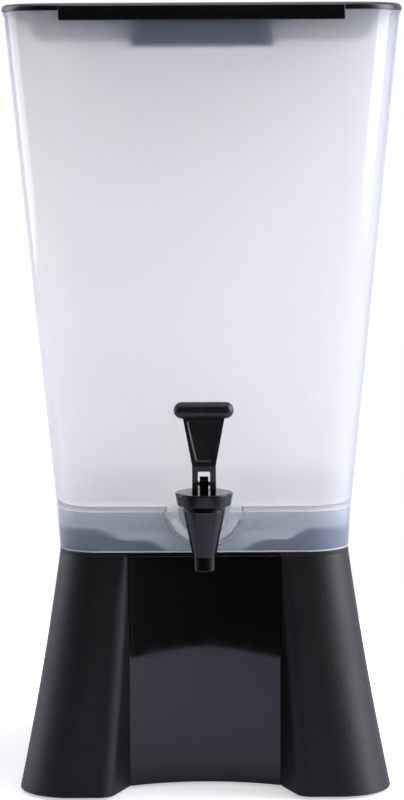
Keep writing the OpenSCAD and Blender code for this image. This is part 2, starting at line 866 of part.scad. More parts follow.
module stem_spring() {
    sides = 6;
    turn_rings = 12;
    last = spring_turns * turn_rings;
    rings = [for (k = [0:last])
        let (turn = k / turn_rings, centre = spring_point(turn), a = 360 * turn)
        [for (s = [0:sides - 1])
            let (out = spring_wire / 2 * cos(360 * s / sides), up = spring_wire / 2 * sin(360 * s / sides))
            centre + [out * cos(a), out * sin(a), up]]];
    gaps = [for (k = [0:last - turn_rings])
        norm(spring_point(k / turn_rings + 1) - spring_point(k / turn_rings)) - spring_wire];
    echo(str("least gap between turns of the stem spring, mm: ", min(gaps)));
    color(steel)
        on_spout()
            translate([0, 0, spring_z + spring_clearance])
                polyhedron(
                    points = [for (ring = rings) for (p = ring) p],
                    faces = concat(
                        [[for (s = [0:sides - 1]) s]],
                        [for (k = [0:last - 1]) for (s = [0:sides - 1]) for (half = [0, 1])
                            let (a = k * sides + s, b = k * sides + (s + 1) % sides)
                            half == 0 ? [a, a + sides, b] : [b, a + sides, b + sides]],
                        [[for (s = [sides - 1:-1:0]) last * sides + s]]),
                    convexity = 10);
}

module valve_stem() {
    color(gloss_black)
        difference() {
            union() {
                on_spout()
                    translate([0, 0, button_z])
                        cylinder(h = pin_z - button_z, d = stem_d);
                on_spout()
                    translate([0, 0, button_z])
                        cylinder(h = button_t, d = button_d);
                on_pin()
                    rotate([0, 90, 0])
                        cylinder(h = head_t, r = head_r, center = true);
            }
            on_pin()
                rotate([0, 90, 0])
                    cylinder(h = head_t + 2 * cut_over, d = pin_d, center = true);
        }
}

module lever_pin() {
    color(steel)
        on_pin()
            rotate([0, 90, 0])
                cylinder(h = clevis_w, d = pin_d, center = true);
}

// Lever seen from the front, with the lever pin at the origin
module lever_front() {
    translate([0, bar_rise])
        square([bar_w - bar_d, bar_d], center = true);
    for (side = [-1, 1])
        translate([side * (bar_w - bar_d) / 2, bar_rise])
            circle(d = bar_d);
    polygon([[-clevis_w / 2, -pin_rise], [clevis_w / 2, -pin_rise], [clevis_w / 2, lever_foot_rise],
        [lever_top_w / 2, bar_rise - bar_d / 2], [lever_top_w / 2, bar_rise], [-lever_top_w / 2, bar_rise],
        [-lever_top_w / 2, bar_rise - bar_d / 2], [-clevis_w / 2, lever_foot_rise]]);
}

// Lever seen from its right side, with the front to the left: the cam's nose reaches forward under the neck
module lever_side() {
    cam_steps = 10;
    cam = [for (i = [cam_steps:-1:0]) cam_point(lever_swing * i / cam_steps)];
    nose = cam_point(lever_swing);
    translate([0, bar_rise])
        circle(d = bar_d);
    polygon(concat(
        [[cheek_back, cam_clearance - pin_rise], [cheek_back, head_r], [lever_t / 2, lever_foot_rise],
            [lever_t / 2, bar_rise], [-lever_t / 2, bar_rise], [-lever_t / 2, lever_foot_rise],
            [nose[0], nose[1] + head_r]],
        cam));
}

module tap_lever() {
    recess_w0 = clevis_w - 2 * lever_border;
    recess_w1 = lever_top_w - 2 * lever_border;
    recess_z0 = lever_foot_rise + lever_border;
    recess_z1 = bar_rise - bar_d / 2 - lever_border / 2;
    color(gloss_black)
        on_pin()
            difference() {
                intersection() {
                    rotate([90, 0, 0])
                        linear_extrude(bar_w, center = true)
                            lever_front();
                    translate([-bar_w / 2, 0, 0])
                        rotate([90, 0, 90])
                            linear_extrude(bar_w)
                                lever_side();
                }
                translate([-slot_w / 2, -bar_w / 2, -bar_w])
                    cube([slot_w, bar_w, bar_w + slot_rise]);
                rotate([0, 90, 0])
                    cylinder(h = bar_w, r = pin_d / 2 + pin_clearance, center = true);
                translate([0, lever_recess - lever_t / 2, 0])
                    rotate([90, 0, 0])
                        linear_extrude(bar_w)
                            polygon([[-recess_w0 / 2, recess_z0], [recess_w0 / 2, recess_z0],
                                [recess_w1 / 2, recess_z1], [-recess_w1 / 2, recess_z1]]);
            }
}

base_shell();
front_panel();
foot(-1, -1);  // foot_front_left
foot(1, -1);  // foot_front_right
foot(-1, 1);  // foot_rear_left
foot(1, 1);  // foot_rear_right
container();
lid();
tap_body();
tap_bonnet();
outer_gasket();
inner_gasket();
slip_washer();
tap_nut();
seat_cup();
spring_washer();
stem_spring();
valve_stem();
lever_pin();
tap_lever();
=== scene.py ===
import json
import math

import bmesh
import bpy
from bpy.props import FloatProperty, FloatVectorProperty, PointerProperty
from mathutils import Matrix, Vector


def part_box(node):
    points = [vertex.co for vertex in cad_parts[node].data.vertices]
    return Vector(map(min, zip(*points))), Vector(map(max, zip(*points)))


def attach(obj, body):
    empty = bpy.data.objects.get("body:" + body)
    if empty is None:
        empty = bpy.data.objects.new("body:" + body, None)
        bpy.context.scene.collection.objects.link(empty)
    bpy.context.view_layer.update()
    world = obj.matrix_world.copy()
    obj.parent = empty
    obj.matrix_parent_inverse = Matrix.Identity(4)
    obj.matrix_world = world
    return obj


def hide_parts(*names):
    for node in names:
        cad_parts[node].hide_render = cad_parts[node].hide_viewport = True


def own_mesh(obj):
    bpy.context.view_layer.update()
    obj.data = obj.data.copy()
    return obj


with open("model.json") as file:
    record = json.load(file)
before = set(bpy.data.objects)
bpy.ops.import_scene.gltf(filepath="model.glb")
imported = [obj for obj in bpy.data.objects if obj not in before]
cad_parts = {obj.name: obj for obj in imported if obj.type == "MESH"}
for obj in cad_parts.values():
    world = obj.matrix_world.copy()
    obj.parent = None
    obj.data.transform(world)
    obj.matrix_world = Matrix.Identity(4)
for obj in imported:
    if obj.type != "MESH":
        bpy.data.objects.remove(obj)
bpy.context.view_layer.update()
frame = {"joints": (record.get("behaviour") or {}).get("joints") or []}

bl_info = {
    "name": "Juice Dispenser",
    "version": (1, 0, 0),
    "blender": (4, 5, 0),
    "location": "3D View > Sidebar > Dispenser",
    "description": "Models a countertop juice dispenser round its packed frame",
    "category": "Object",
}


def middle(node):
    """Middle of a CAD node's box."""
    low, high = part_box(node)
    return (low + high) / 2.0


def span(node):
    """Size of a CAD node's box."""
    low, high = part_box(node)
    return high - low


def travel(joint, unit):
    """Distance or angle between a joint's limits."""
    low, high = next(entry for entry in frame["joints"] if entry["name"] == joint)[unit]
    return high - low


def along_y(z):
    """Place of a turned shape on an axis along y, with its heights read as y."""
    return Matrix.Translation((0.0, 0.0, z)) @ Matrix.Rotation(-QUARTER, 4, "X")


UP = Vector((0.0, 0.0, 1.0))
QUARTER = math.pi / 2.0

BASE_LOW, BASE_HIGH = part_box("base_shell")
VESSEL_LOW, VESSEL_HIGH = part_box("container")
LID_LOW, LID_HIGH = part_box("lid")
FASCIA_LOW, FASCIA_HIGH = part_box("front_panel")
BODY_LOW, BODY_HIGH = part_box("tap_body")
BONNET_LOW, BONNET_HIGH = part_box("tap_bonnet")
LEVER_LOW, LEVER_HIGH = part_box("tap_lever")
MID_Y = middle("container").y
SPOUT_Y = middle("tap_bonnet").y
SHANK_Z = middle("slip_washer").z
PIN = middle("lever_pin")
STEM_LIFT = travel("stem_lift", "range_m")
LEVER_SWING = math.radians(travel("lever_tilt", "range_deg"))

# Places of drawings of x and z, of drawings of y and z, of shapes turned on the tap's axes, and of the pin.
UPRIGHT = Matrix.Rotation(QUARTER, 4, "X")
SIDEWAYS = Matrix.Rotation(QUARTER, 4, "Z") @ UPRIGHT
ON_SPOUT = Matrix.Translation((0.0, SPOUT_Y, 0.0))
ON_SHANK = along_y(SHANK_Z)
AT_PIN = Matrix.Translation(PIN)
TO_SIDE = Matrix.Rotation(QUARTER, 4, "Y")

# Lengths that hold for many pieces.
TOUCH = 0.00005  # overlap of faces that meet
CLOSE = 0.0001  # least gap between two faces
SLIP = 0.0003  # play of a piece that slips over another
BEYOND = 0.01  # reach of a cutter past what it cuts
BLOCK = 0.03  # half the depth of the blocks that the lever is cut from
HAIR, FINE, SMALL, PLAIN, SOFT, FULL = 0.0002, 0.0003, 0.0004, 0.0005, 0.0006, 0.0008  # roundings of edges
MARGIN = 0.001  # distance between the end of a band of finish and the edge it belongs to

SMOOTH = math.radians(35.0)  # faces that meet at less are shaded as one
WHITE, PALE, BLACK = (1.0, 1.0, 1.0), (0.97, 0.97, 0.97), (0.0, 0.0, 0.0)

# Each lamp's name, its setting, its place from the dispenser's middle, its size, and whether gloss mirrors it.
LAMPS = (
    ("soft_right", "key", (1.25, -0.15, 0.75), (0.8, 1.3), True),
    ("soft_left", "fill", (-1.25, 0.45, 0.75), (0.8, 1.3), True),
    ("soft_top", "top", (0.0, 0.1, 1.7), (1.4, 1.2), True),
    ("soft_front", "front", (0.9, -1.5, 0.8), (1.2, 1.0), False),
)
LAMP_TARGET = Vector((0.0, MID_Y, 0.3))
LAMP_TINT = (0.95, 0.945, 1.0)


def length(name, description, default):
    """Property for a length in metres."""
    return FloatProperty(name=name, description=description, default=default, min=0.0, precision=4,
                         subtype="DISTANCE", unit="LENGTH")


def angle(name, description, degrees):
    """Property for an angle, given in degrees."""
    return FloatProperty(name=name, description=description, default=math.radians(degrees), subtype="ANGLE",
                         unit="ROTATION")


def colour(name, description, default):
    """Property for a linear colour."""
    return FloatVectorProperty(name=name, description=description, default=default, size=3, min=0.0, max=1.0,
                               subtype="COLOR")


def share(name, description, default, top=1.0):
    """Property for a plain factor."""
    return FloatProperty(name=name, description=description, default=default, min=0.0, max=top, subtype="FACTOR")


def power(name, description, watts):
    """Property for a lamp's power."""
    return FloatProperty(name=name, description=description, default=watts, unit="POWER")


class StandSizes(bpy.types.PropertyGroup):
    """Sizes of the stand that its box doesn't give."""

    deck_width: length("Deck width", "Width of the stand across its deck", 0.207)
    deck_corner: length("Deck corner", "Corner radius of the deck", 0.031)
    foot_corner: length("Foot corner", "Corner radius of the bottom edge", 0.037)
    side_bow: length("Side bow", "How far each flared side bows inward half way down", 0.0015)
    wall: length("Wall", "Wall of the stand", 0.003)
    deck_thickness: length("Deck thickness", "Thickness of the deck", 0.003)
    edge: length("Edge rounding", "Rounding of the stand's moulded edges", 0.0008)
    recess_width: length("Recess width", "Width of the cup recess at its back", 0.108)
    recess_setback: length("Recess set-back", "Fascia edges behind the front of the deck", 0.0035)
    recess_splay: angle("Recess splay", "How far the recess's side walls open toward the front", 22.0)
    recess_edge: length("Recess edge", "Rounding of the front edges of the recess", 0.011)
    fascia_thickness: length("Fascia thickness", "Thickness of the gloss fascia", 0.0025)
    collar_step: length("Collar step", "Height of the collar's low stretches beside the front gap", 0.009)
    collar_gap: length("Collar gap", "Width of the collar's front gap", 0.052)
    collar_stretch: length("Collar stretch", "Length of each low stretch", 0.020)
    collar_climb: length("Collar climb", "Length over which the collar's edge climbs", 0.0135)
    collar_thickness: length("Collar thickness", "Thickness of the collar", 0.0025)
    collar_clearance: length("Collar clearance", "Gap between the collar and the skirt", 0.0004)
    rib_depth: length("Rib depth", "Depth of the ribs under the deck", 0.012)
    rib_offset: length("Rib offset", "Distance of each rib from the middle", 0.036)
    rib_thickness: length("Rib thickness", "Thickness of a rib", 0.002)
    boss_radius: length("Boss radius", "Radius of the bosses that hold the feet", 0.00555)
    boss_height: length("Boss height", "Height of the bosses that hold the feet", 0.012)


class VesselSizes(bpy.types.PropertyGroup):
    """Sizes of the container that its box doesn't give."""

    wall: length("Wall", "Wall of the container", 0.0026)
    floor: length("Floor", "Thickness of the container's floor", 0.003)
    skirt: length("Skirt", "Height of the skirt under the floor", 0.029)
    lean: length("Skirt lean", "How far the skirt leans out on each side", 0.0018)
    top_corner: length("Top corner", "Corner radius of the container's top", 0.036)
    cove: length("Cove", "Rounding between the floor and the walls", 0.005)
    rim_height: length("Rim height", "Height of the bead round the rim", 0.003)
    rim_out: length("Rim bead", "How far the rim's bead stands out", 0.0008)
    sump_radius: length("Sump radius", "Outside radius of the sump behind the tap", 0.029)
    sump_length: length("Sump length", "Reach of the sump into the container", 0.045)
    pad_diameter: length("Pad diameter", "Diameter of the flat pad behind the tap", 0.039)
    pad_proud: length("Pad height", "How far the pad stands out of the wall", 0.0007)


class LidSizes(bpy.types.PropertyGroup):
    """Sizes of the lid that its box doesn't give."""

    edge: length("Edge rounding", "Rounding of the lid's upper edge", 0.0035)
    thickness: length("Thickness", "Wall of the lid", 0.0025)
    seat: length("Seat width", "Width of the lid's seat on the rim", 0.004)
    tray_inset: length("Tray inset", "Distance from the lid's edge to its tray", 0.019)
    tray_depth: length("Tray depth", "Depth of the sunken tray", 0.0255)
    tray_corner: length("Tray corner", "Corner radius of the tray", 0.028)
    tray_round: length("Tray rounding", "Rounding of the tray's lower edge", 0.011)
    well_width: length("Well width", "Width of the finger well", 0.1)
    well_corner: length("Well corner", "Corner radius of the finger well", 0.003)
    well_clearance: length("Well clearance", "Gap between the finger well and the container", 0.0009)
    well_reach: length("Well reach", "How far the finger well reaches back under the tray", 0.008)
    flap_width: length("Flap width", "Width of the grip at the front", 0.195)
    flap_drop: length("Flap drop", "How far the grip hangs below the rim", 0.007)
    flap_clearance: length("Flap clearance", "Gap between the grip and the rim", 0.0005)
    flap_end: length("Flap end", "Rounding of the grip's ends", 0.001)


class TapSizes(bpy.types.PropertyGroup):
    """Sizes of the tap that its boxes don't give."""

    cone_height: length("Cone height", "Height of the tap's cone", 0.033)
    tip_height: length("Tip height", "Height of the straight tip", 0.010)
    tip_top: length("Tip top", "Diameter of the tip where it meets the cone", 0.0162)
    tip_end: length("Tip end", "Diameter of the tip at its end", 0.0156)
    outlet: length("Outlet", "Diameter of the outlet", 0.011)
    neck: length("Neck", "Diameter of the threaded neck under the bonnet", 0.0288)
    chamber_wall: length("Chamber wall", "Wall of the valve chamber", 0.0022)
    seat_depth: length("Seat depth", "Height from the seat to the top of the cone", 0.016)
    bonnet_foot: length("Bonnet foot", "Diameter of the bonnet at its foot", 0.0372)
    bonnet_top: length("Bonnet top", "Thickness of the bonnet's top", 0.004)
    bonnet_edge: length("Bonnet edge", "Rounding of the bonnet's edges", 0.001)
    shank: length("Shank", "Diameter of the shank", 0.016)
    inlet: length("Inlet", "Diameter of the bore in the shank", 0.010)
    flange: length("Flange", "Diameter of the flange on the shank", 0.027)
    flange_thickness: length("Flange thickness", "Thickness of the flange", 0.004)
    pitch: length("Thread pitch", "Pitch of the shank's thread", 0.0015)
    stem: length("Stem", "Diameter of the valve stem", 0.006)
    stem_clearance: length("Stem clearance", "Gap round the valve stem in the bonnet", 0.0001)
    head: length("Stem head", "Radius of the stem's flat head", 0.005)
    head_thickness: length("Head thickness", "Thickness of the stem's flat head", 0.006)
    button: length("Button", "Diameter of the button at the stem's end", 0.010)
    button_thickness: length("Button thickness", "Thickness of the button", 0.003)
    cup_wall: length("Cup wall", "Wall of the silicone seat cup", 0.0012)
    cup_radius: length("Cup radius", "Outside radius of the cup's bellows", 0.0084)
    cup_nose: length("Cup nose", "Radius of the cup's sealing nose", 0.0073)
    cup_flange: length("Cup flange", "Thickness of the cup's clamped flange", 0.0015)
    wire: length("Spring wire", "Diameter of the spring's wire", 0.0011)
    bar_diameter: length("Bar diameter", "Diameter of the lever's cross bar", 0.0116)
    lever_top: length("Lever top", "Width of the lever's neck under the cross bar", 0.0286)
    clevis: length("Clevis", "Width of the lever at its clevis", 0.0164)
    lever_thickness: length("Lever thickness", "Thickness of the lever's neck", 0.007)
    slot: length("Slot", "Width of the slot between the clevis's cheeks", 0.0084)
    slot_rise: length("Slot rise", "Height of the slot above the pin", 0.009)
    foot_rise: length("Foot rise", "Height above the pin where the clevis becomes the neck", 0.013)
    border: length("Border", "Border round the neck's recess", 0.003)
    recess: length("Recess", "Depth of the neck's recess", 0.001)


class Finishes(bpy.types.PropertyGroup):
    """Colours of the dispenser's finishes, and how far its plastic is clear, hazy or white."""

    grained: colour("Grained black", "Matte moulded black of the stand", (0.0042, 0.0030, 0.0026))
    satin: colour("Satin black", "Satin black of the lid", (0.0065, 0.0045, 0.0042))
    polished: colour("Polished black", "Polished black of the fascia and the tap", (0.0045, 0.003, 0.0025))
    lever: colour("Lever black", "Handled black of the lever", (0.0095, 0.0085, 0.0085))
    milky: colour("Milky plastic", "Tint of the light that goes straight through the container",
                  (1.0, 0.975, 0.94))
    haze_tint: colour("Haze tint", "Tint of the light that the container's matte inside scatters",
                      (0.978, 0.980, 0.971))
    skirt_tint: colour("Skirt tint", "Cooler tint of the light that the skirt's matte inside scatters",
                       (0.90, 0.965, 1.0))
    cloud_tint: colour("Cloud tint", "Cool tint of the light that the container sends back", (0.50, 0.62, 0.95))
    haze: share("Haze", "Share of the light that the container's matte inside scatters", 0.75)
    skirt_haze: share("Skirt haze", "Share of the light that the inside scatters below the floor", 0.85)
    floor_haze: share("Floor haze", "Share of the light that the floor and the sump scatter", 0.3)
    veil: share("Veil", "Share of the light that the container's faces send back", 0.075)
    skirt_veil: share("Skirt veil", "Share of the light that the skirt's outside sends back", 0.12)
    # Painted highlight: the skirt's foot sends back more white light, which paints the bright line that its edge
    # catches.
    foot_veil: share("Foot veil", "Share of the light that the skirt's foot sends back", 0.6)
    floor_veil: share("Floor veil", "Share of the light that the top of the floor sends back", 0.12)
    sump_veil: share("Sump veil", "Share of the light that the sump's walls send back", 0.8)
    ledge_veil: share("Ledge veil", "Share of the light that the front of the floor's underside sends back", 0.42)
    rubber: colour("Rubber", "Rubber of the feet and the outer gasket", (0.030, 0.030, 0.032))
    gasket: colour("Gasket", "Cloudy silicone of the gasket inside the container", (0.80, 0.88, 0.97))
    silicone: colour("Silicone", "Silicone of the valve's seat cup", (0.74, 0.74, 0.69))
    steel: colour("Steel", "Stainless steel of the spring, its washer and the pin", (0.56, 0.57, 0.58))


class StageSettings(bpy.types.PropertyGroup):
    """Camera, floor and lamps."""

    distance: length("Camera distance", "Distance from the camera to the container's middle", 1.9737)
    height: length("Camera height", "Height of the camera above the floor", 0.4836)
    pitch: angle("Camera pitch", "How far the camera looks down", 6.2)
    roll: angle("Camera roll", "How far the camera is turned about its view", -0.29)
    aside: FloatProperty(name="Camera offset", description="How far the camera stands to the right",
                         default=-0.0011, precision=4, subtype="DISTANCE", unit="LENGTH")
    lens: FloatProperty(name="Lens", description="Focal length for the sensor's width", default=120.4,
                        subtype="DISTANCE_CAMERA")
    sensor: FloatProperty(name="Sensor", description="Width of the camera's sensor", default=36.0,
                          subtype="DISTANCE_CAMERA")
    floor: colour("Floor", "Colour of the floor", (0.86, 0.86, 0.86))
    cool: colour("Cool light", "Colour of the studio in reflections", (0.82, 0.81, 1.0))
    floor_front: length("Floor front", "Reach of the pale floor in front of the dispenser", 0.588)
    floor_side: length("Floor side", "Reach of the pale floor beside the dispenser", 0.40)
    wing_side: length("Wing side", "Reach of the floor's side wings", 1.2)
    wing_front: length("Wing front", "Reach of the floor's side wings to the front", 0.28)
    floor_glow: share("Floor glow", "Brightness that the floor keeps to the eye", 0.52)
    floor_gloss: share("Floor gloss", "Brightness that the floor keeps in reflections", 0.2)
    ambient: share("Ambient", "Brightness of the soft light all round", 0.38, 2.0)
    backdrop: share("Backdrop", "Brightness of the backdrop in reflections and through plastic", 1.0, 2.0)
    key: power("Right lamp", "Power of the soft lamp on the right", 22.0)
    fill: power("Left lamp", "Power of the soft lamp on the left", 9.0)
    top: power("Top lamp", "Power of the soft lamp overhead", 10.0)
    front: power("Front lamp", "Power of the soft lamp in front, which no surface mirrors", 12.0)


def blend_between(low, high, part):
    """Value between two others."""
    return low + (high - low) * part


def verts_of(edges):
    """Vertices of edges, each once and in order."""
    return list(dict.fromkeys(vert for edge in edges for vert in edge.verts))


def edges_in(geometry):
    """Edges among mixed geometry."""
    return [part for part in geometry if isinstance(part, bmesh.types.BMEdge)]


def four_corners(foot, top, low, high, foot_round, top_round):
    """Corners of an outline that is foot wide to each side below and top wide to each side above."""
    return [(-foot, low, foot_round), (foot, low, foot_round), (top, high, top_round), (-top, high, top_round)]


def band(hole, radius, low, high, rounding=0.0):
    """Profile of a plain ring, or of a disc where the hole is none."""
    return [(hole, low, rounding), (radius, low, rounding), (radius, high, rounding), (hole, high, rounding)]


def outline(bm, corners, segments=6, place=None, bow=None):
    """Closed loop of edges through corners given as (x, y, rounding), each rounded by a vertex bevel.

    bow is (corner, function): the edge after that corner is divided and its points follow the function of x.
    """
    before = set(bm.faces)
    verts = [bm.verts.new((x, y, 0.0)) for x, y, _ in corners]
    bm.faces.new(verts)
    for i, (x, y, rounding) in enumerate(corners):
        if rounding <= 0.0:
            continue
        here = Vector((x, y))
        back = Vector(corners[i - 1][:2]) - here
        ahead = Vector(corners[(i + 1) % len(corners)][:2]) - here
        reach = rounding / math.tan(back.angle(ahead) / 2.0)
        bmesh.ops.bevel(bm, geom=[verts[i]], offset=reach, offset_type="OFFSET", segments=segments, profile=0.5,
                        affect="VERTICES", material=-1, clamp_overlap=False)
    if bow:
        start, height = bow
        edge = bm.edges.get((verts[start], verts[start + 1]))
        for vert in bmesh.ops.subdivide_edges(bm, edges=[edge], cuts=15)["geom_inner"]:
            if isinstance(vert, bmesh.types.BMVert):
                vert.co.y = height(vert.co.x)
    face = next(f for f in bm.faces if f not in before)
    loop = list(face.edges)
    if place:
        bmesh.ops.transform(bm, matrix=place, verts=face.verts)
    bmesh.ops.delete(bm, geom=[face], context="FACES_ONLY")
    return loop


def square_loop(bm, width, rounding, z, depth=None, y=None, segments=12):
    """Loop of a rounded rectangle at height z, about the container's middle unless y is given."""
    x, half = width / 2.0, (depth or width) / 2.0
    place = Matrix.Translation((0.0, MID_Y if y is None else y, z))
    return outline(bm, four_corners(x, x, -half, half, rounding, rounding), segments, place)


def skin(bm, loops, cap_first=True, cap_last=True, way=UP):
    """Bridges neighbouring loops and closes the ends.

    Each pair stands a metre apart while it is bridged, because loops in one plane can bridge with a twist.
    """
    for low, high in zip(loops, loops[1:]):
        moved = verts_of(high)
        bmesh.ops.translate(bm, verts=moved, vec=way)
        bmesh.ops.bridge_loops(bm, edges=low + high)
        bmesh.ops.translate(bm, verts=moved, vec=-way)
    for loop, wanted in ((loops[0], cap_first), (loops[-1], cap_last)):
        if wanted:
            bmesh.ops.edgeloop_fill(bm, edges=loop)


def soften(bm, edges, width, segments=3):
    """Rounds edges."""
    live = [edge for edge in edges if edge.is_valid]
    bmesh.ops.bevel(bm, geom=live, offset=width, offset_type="OFFSET", segments=segments, profile=0.5,
                    affect="EDGES", material=-1, clamp_overlap=True)


def soften_sharp(bm, width, degrees=40.0, segments=3):
    """Rounds every edge where two faces meet at more than an angle."""
    bm.normal_update()
    limit = math.radians(degrees)
    sharp = [edge for edge in bm.edges if len(edge.link_faces) == 2 and edge.calc_face_angle(0.0) > limit]
    soften(bm, sharp, width, segments)


def prism(corners, low, high, place, segments):
    """Closed prism over an outline, from one height to another."""
    bm = bmesh.new()
    loops = [outline(bm, corners, segments, place @ Matrix.Translation((0.0, 0.0, z))) for z in (low, high)]
    skin(bm, loops, way=place.to_3x3() @ UP)
    return bm


def cylinder(radius, depth, place, segments=48, bm=None):
    """Round bar about the z axis of its place, in a mesh of its own unless one is given."""
    bm = bmesh.new() if bm is None else bm
    bmesh.ops.create_cone(bm, cap_ends=True, segments=segments, radius1=radius, radius2=radius, depth=depth,
                          matrix=place)
    return bm


def spun(bm, edges, sweep, steps, middle_y=0.0, rise=0.0, merge=False):
    """Spins edges about an upright axis, and gives the geometry that the spin ends on."""
    return bmesh.ops.spin(bm, geom=verts_of(edges) + edges, cent=(0.0, middle_y, 0.0), axis=UP,
                          dvec=(0.0, 0.0, rise), angle=sweep, steps=steps, use_merge=merge, use_normal_flip=False,
                          use_duplicate=False)["geom_last"]


def turned(profile, place, steps=72, segments=3, bm=None):
    """Solid turned from a closed profile of (radius, height, rounding) points."""
    bm = bmesh.new() if bm is None else bm
    before = set(bm.verts)
    loop = outline(bm, profile, segments, UPRIGHT)
    axial = [e for e in loop if all(abs(v.co.x) < 1e-7 for v in e.verts)]
    kept = [e for e in loop if e not in axial]
    bmesh.ops.delete(bm, geom=axial, context="EDGES")
    spun(bm, kept, 2.0 * math.pi, steps, merge=True)
    bmesh.ops.transform(bm, matrix=place, verts=[v for v in bm.verts if v not in before])
    return bm


def coil(bm, wire, radius, low, high, turns, place, sides, steps):
    """Wire wound round an axis between two heights."""
    before = set(bm.verts)
    start = Matrix.Translation((radius, 0.0, low)) @ UPRIGHT
    ring = bmesh.ops.create_circle(bm, segments=sides, radius=wire / 2.0, matrix=start)["verts"]
    edges = list(dict.fromkeys(edge for vert in ring for edge in vert.link_edges))
    count = int(turns * steps)
    last = spun(bm, edges, 2.0 * math.pi * turns, count, rise=(high - low) / count)
    for end in (edges, edges_in(last)):
        bmesh.ops.edgeloop_fill(bm, edges=end)
    bmesh.ops.transform(bm, matrix=place, verts=[v for v in bm.verts if v not in before])


def cut_plane(bm, at, normal, clear=True):
    """Cuts a mesh along a plane, drops what lies beyond it where asked, and gives the edges of the cut."""
    geometry = bm.verts[:] + bm.edges[:] + bm.faces[:]
    return edges_in(bmesh.ops.bisect_plane(bm, geom=geometry, plane_co=at, plane_no=normal,
                                           clear_outer=clear)["geom_cut"])


def clean(bm):
    """Merges doubles and turns the faces outward."""
    bmesh.ops.remove_doubles(bm, verts=bm.verts, dist=1e-6)
    bmesh.ops.recalc_face_normals(bm, faces=bm.faces)


def placed(name, bm):
    """Object in the scene that takes over a bmesh."""
    mesh = bpy.data.meshes.new(name)
    bm.to_mesh(mesh)
    bm.free()
    item = bpy.data.objects.new(name, mesh)
    bpy.context.scene.collection.objects.link(item)
    return item


def combine(bm, tool, operation):
    """Joins, cuts or intersects one closed mesh with another, and frees both."""
    clean(bm)
    clean(tool)
    body, cutter = placed("scratch_body", bm), placed("scratch_tool", tool)
    modifier = body.modifiers.new("combine", "BOOLEAN")
    modifier.operation = operation
    modifier.solver = "EXACT"
    modifier.object = cutter
    graph = bpy.context.evaluated_depsgraph_get()
    result = bmesh.new()
    result.from_mesh(body.evaluated_get(graph).to_mesh())
    for item in (body, cutter):
        mesh = item.data
        bpy.data.objects.remove(item)
        bpy.data.meshes.remove(mesh)
    if not result.faces:
        raise RuntimeError("a boolean left nothing of the shape")
    bmesh.ops.dissolve_limit(result, angle_limit=math.radians(0.2), use_dissolve_boundaries=False,
                             verts=result.verts, edges=result.edges, delimit=set())
    return result


def join(bm, other):
    """Adds another closed mesh as an island, and frees it."""
    mesh = bpy.data.meshes.new("scratch_island")
    other.to_mesh(mesh)
    other.free()
    bm.from_mesh(mesh)
    bpy.data.meshes.remove(mesh)


def made_once(maker):
    """Finish by its maker's name, made on its first use."""
    return bpy.data.materials.get(maker.__name__) or maker(maker.__name__)


def finish_piece(name, bm, body, slot, maker, *nodes):
    """Turns a bmesh into a piece that rides on a body in place of its CAD nodes."""
    clean(bm)
    piece = placed(name, bm)
    mesh = piece.data
    if not mesh.polygons:
        raise RuntimeError("no shape was made for " + name)
    mesh.shade_smooth()
    mesh.set_sharp_from_angle(angle=SMOOTH)
    mesh.materials.append(made_once(maker))
    flat = piece.modifiers.new("flat_faces", "WEIGHTED_NORMAL")
    flat.keep_sharp = True
    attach(piece, body)
    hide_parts(*nodes)
    return piece


def refinish(piece, maker, chosen):
    """Gives the faces that a test picks another finish."""
    piece.data.materials.append(made_once(maker))
    for face in piece.data.polygons:
        if chosen(face.center):
            face.material_index = 1


def feed(tree, node, sockets):
    """Wires each socket to an output, or fills it with a plain value."""
    for name, value in sockets.items():
        if isinstance(value, bpy.types.NodeSocket):
            tree.links.new(value, node.inputs[name])
        else:
            node.inputs[name].default_value = value


def add(tree, kind, sockets=None, **settings):
    """Adds a shader node with its settings, and feeds its sockets."""
    node = tree.nodes.new("ShaderNode" + kind)
    for name, value in settings.items():
        setattr(node, name, value)
    feed(tree, node, sockets or {})
    return node


def blank_finish(name):
    """Material with one principled shader."""
    material = bpy.data.materials.new(name)
    material.use_nodes = True
    tree = material.node_tree
    tree.nodes.clear()
    surface = add(tree, "BsdfPrincipled")
    show(tree, surface.outputs["BSDF"])
    return material, tree, surface


def show(tree, shader):
    """Makes a shader the one that a material shows."""
    output = tree.nodes.get("Material Output") or add(tree, "OutputMaterial")
    feed(tree, output, {"Surface": shader})


def noise(tree, scale, detail=3.0, stretch=None):
    """Noise on object coordinates, from about 0 to 1."""
    source = add(tree, "TexCoord").outputs["Object"]
    if stretch:
        source = add(tree, "Mapping", {"Vector": source, "Scale": stretch}).outputs["Vector"]
    return add(tree, "TexNoise", {"Vector": source, "Scale": scale, "Detail": detail}).outputs["Fac"]


def spread(tree, source, low, high, start=0.35, end=0.65):
    """Maps a range, or else a texture's middle range, to values between low and high."""
    return add(tree, "MapRange", {"Value": source, "From Min": start, "From Max": end, "To Min": low,
                                  "To Max": high}).outputs["Result"]


def between(tree, factor, low, high):
    """Value between two others, by a factor from 0 to 1."""
    return spread(tree, factor, low, high, 0.0, 1.0)


def along(tree, axis):
    """Place on one axis of the piece."""
    return add(tree, "SeparateXYZ", {"Vector": add(tree, "TexCoord").outputs["Object"]}).outputs[axis]


def fold(tree, operation, first, *others):
    """One operation over several values in turn, such as their product or the largest of them."""
    for other in others:
        first = add(tree, "Math", {0: first, 1: other}, operation=operation).outputs["Value"]
    return first


def height_band(tree, low, high, fade):
    """One between two heights, fading to zero outside them."""
    height = along(tree, "Z")
    return fold(tree, "MULTIPLY", spread(tree, height, 0.0, 1.0, low - fade, low),
                spread(tree, height, 1.0, 0.0, high, high + fade))


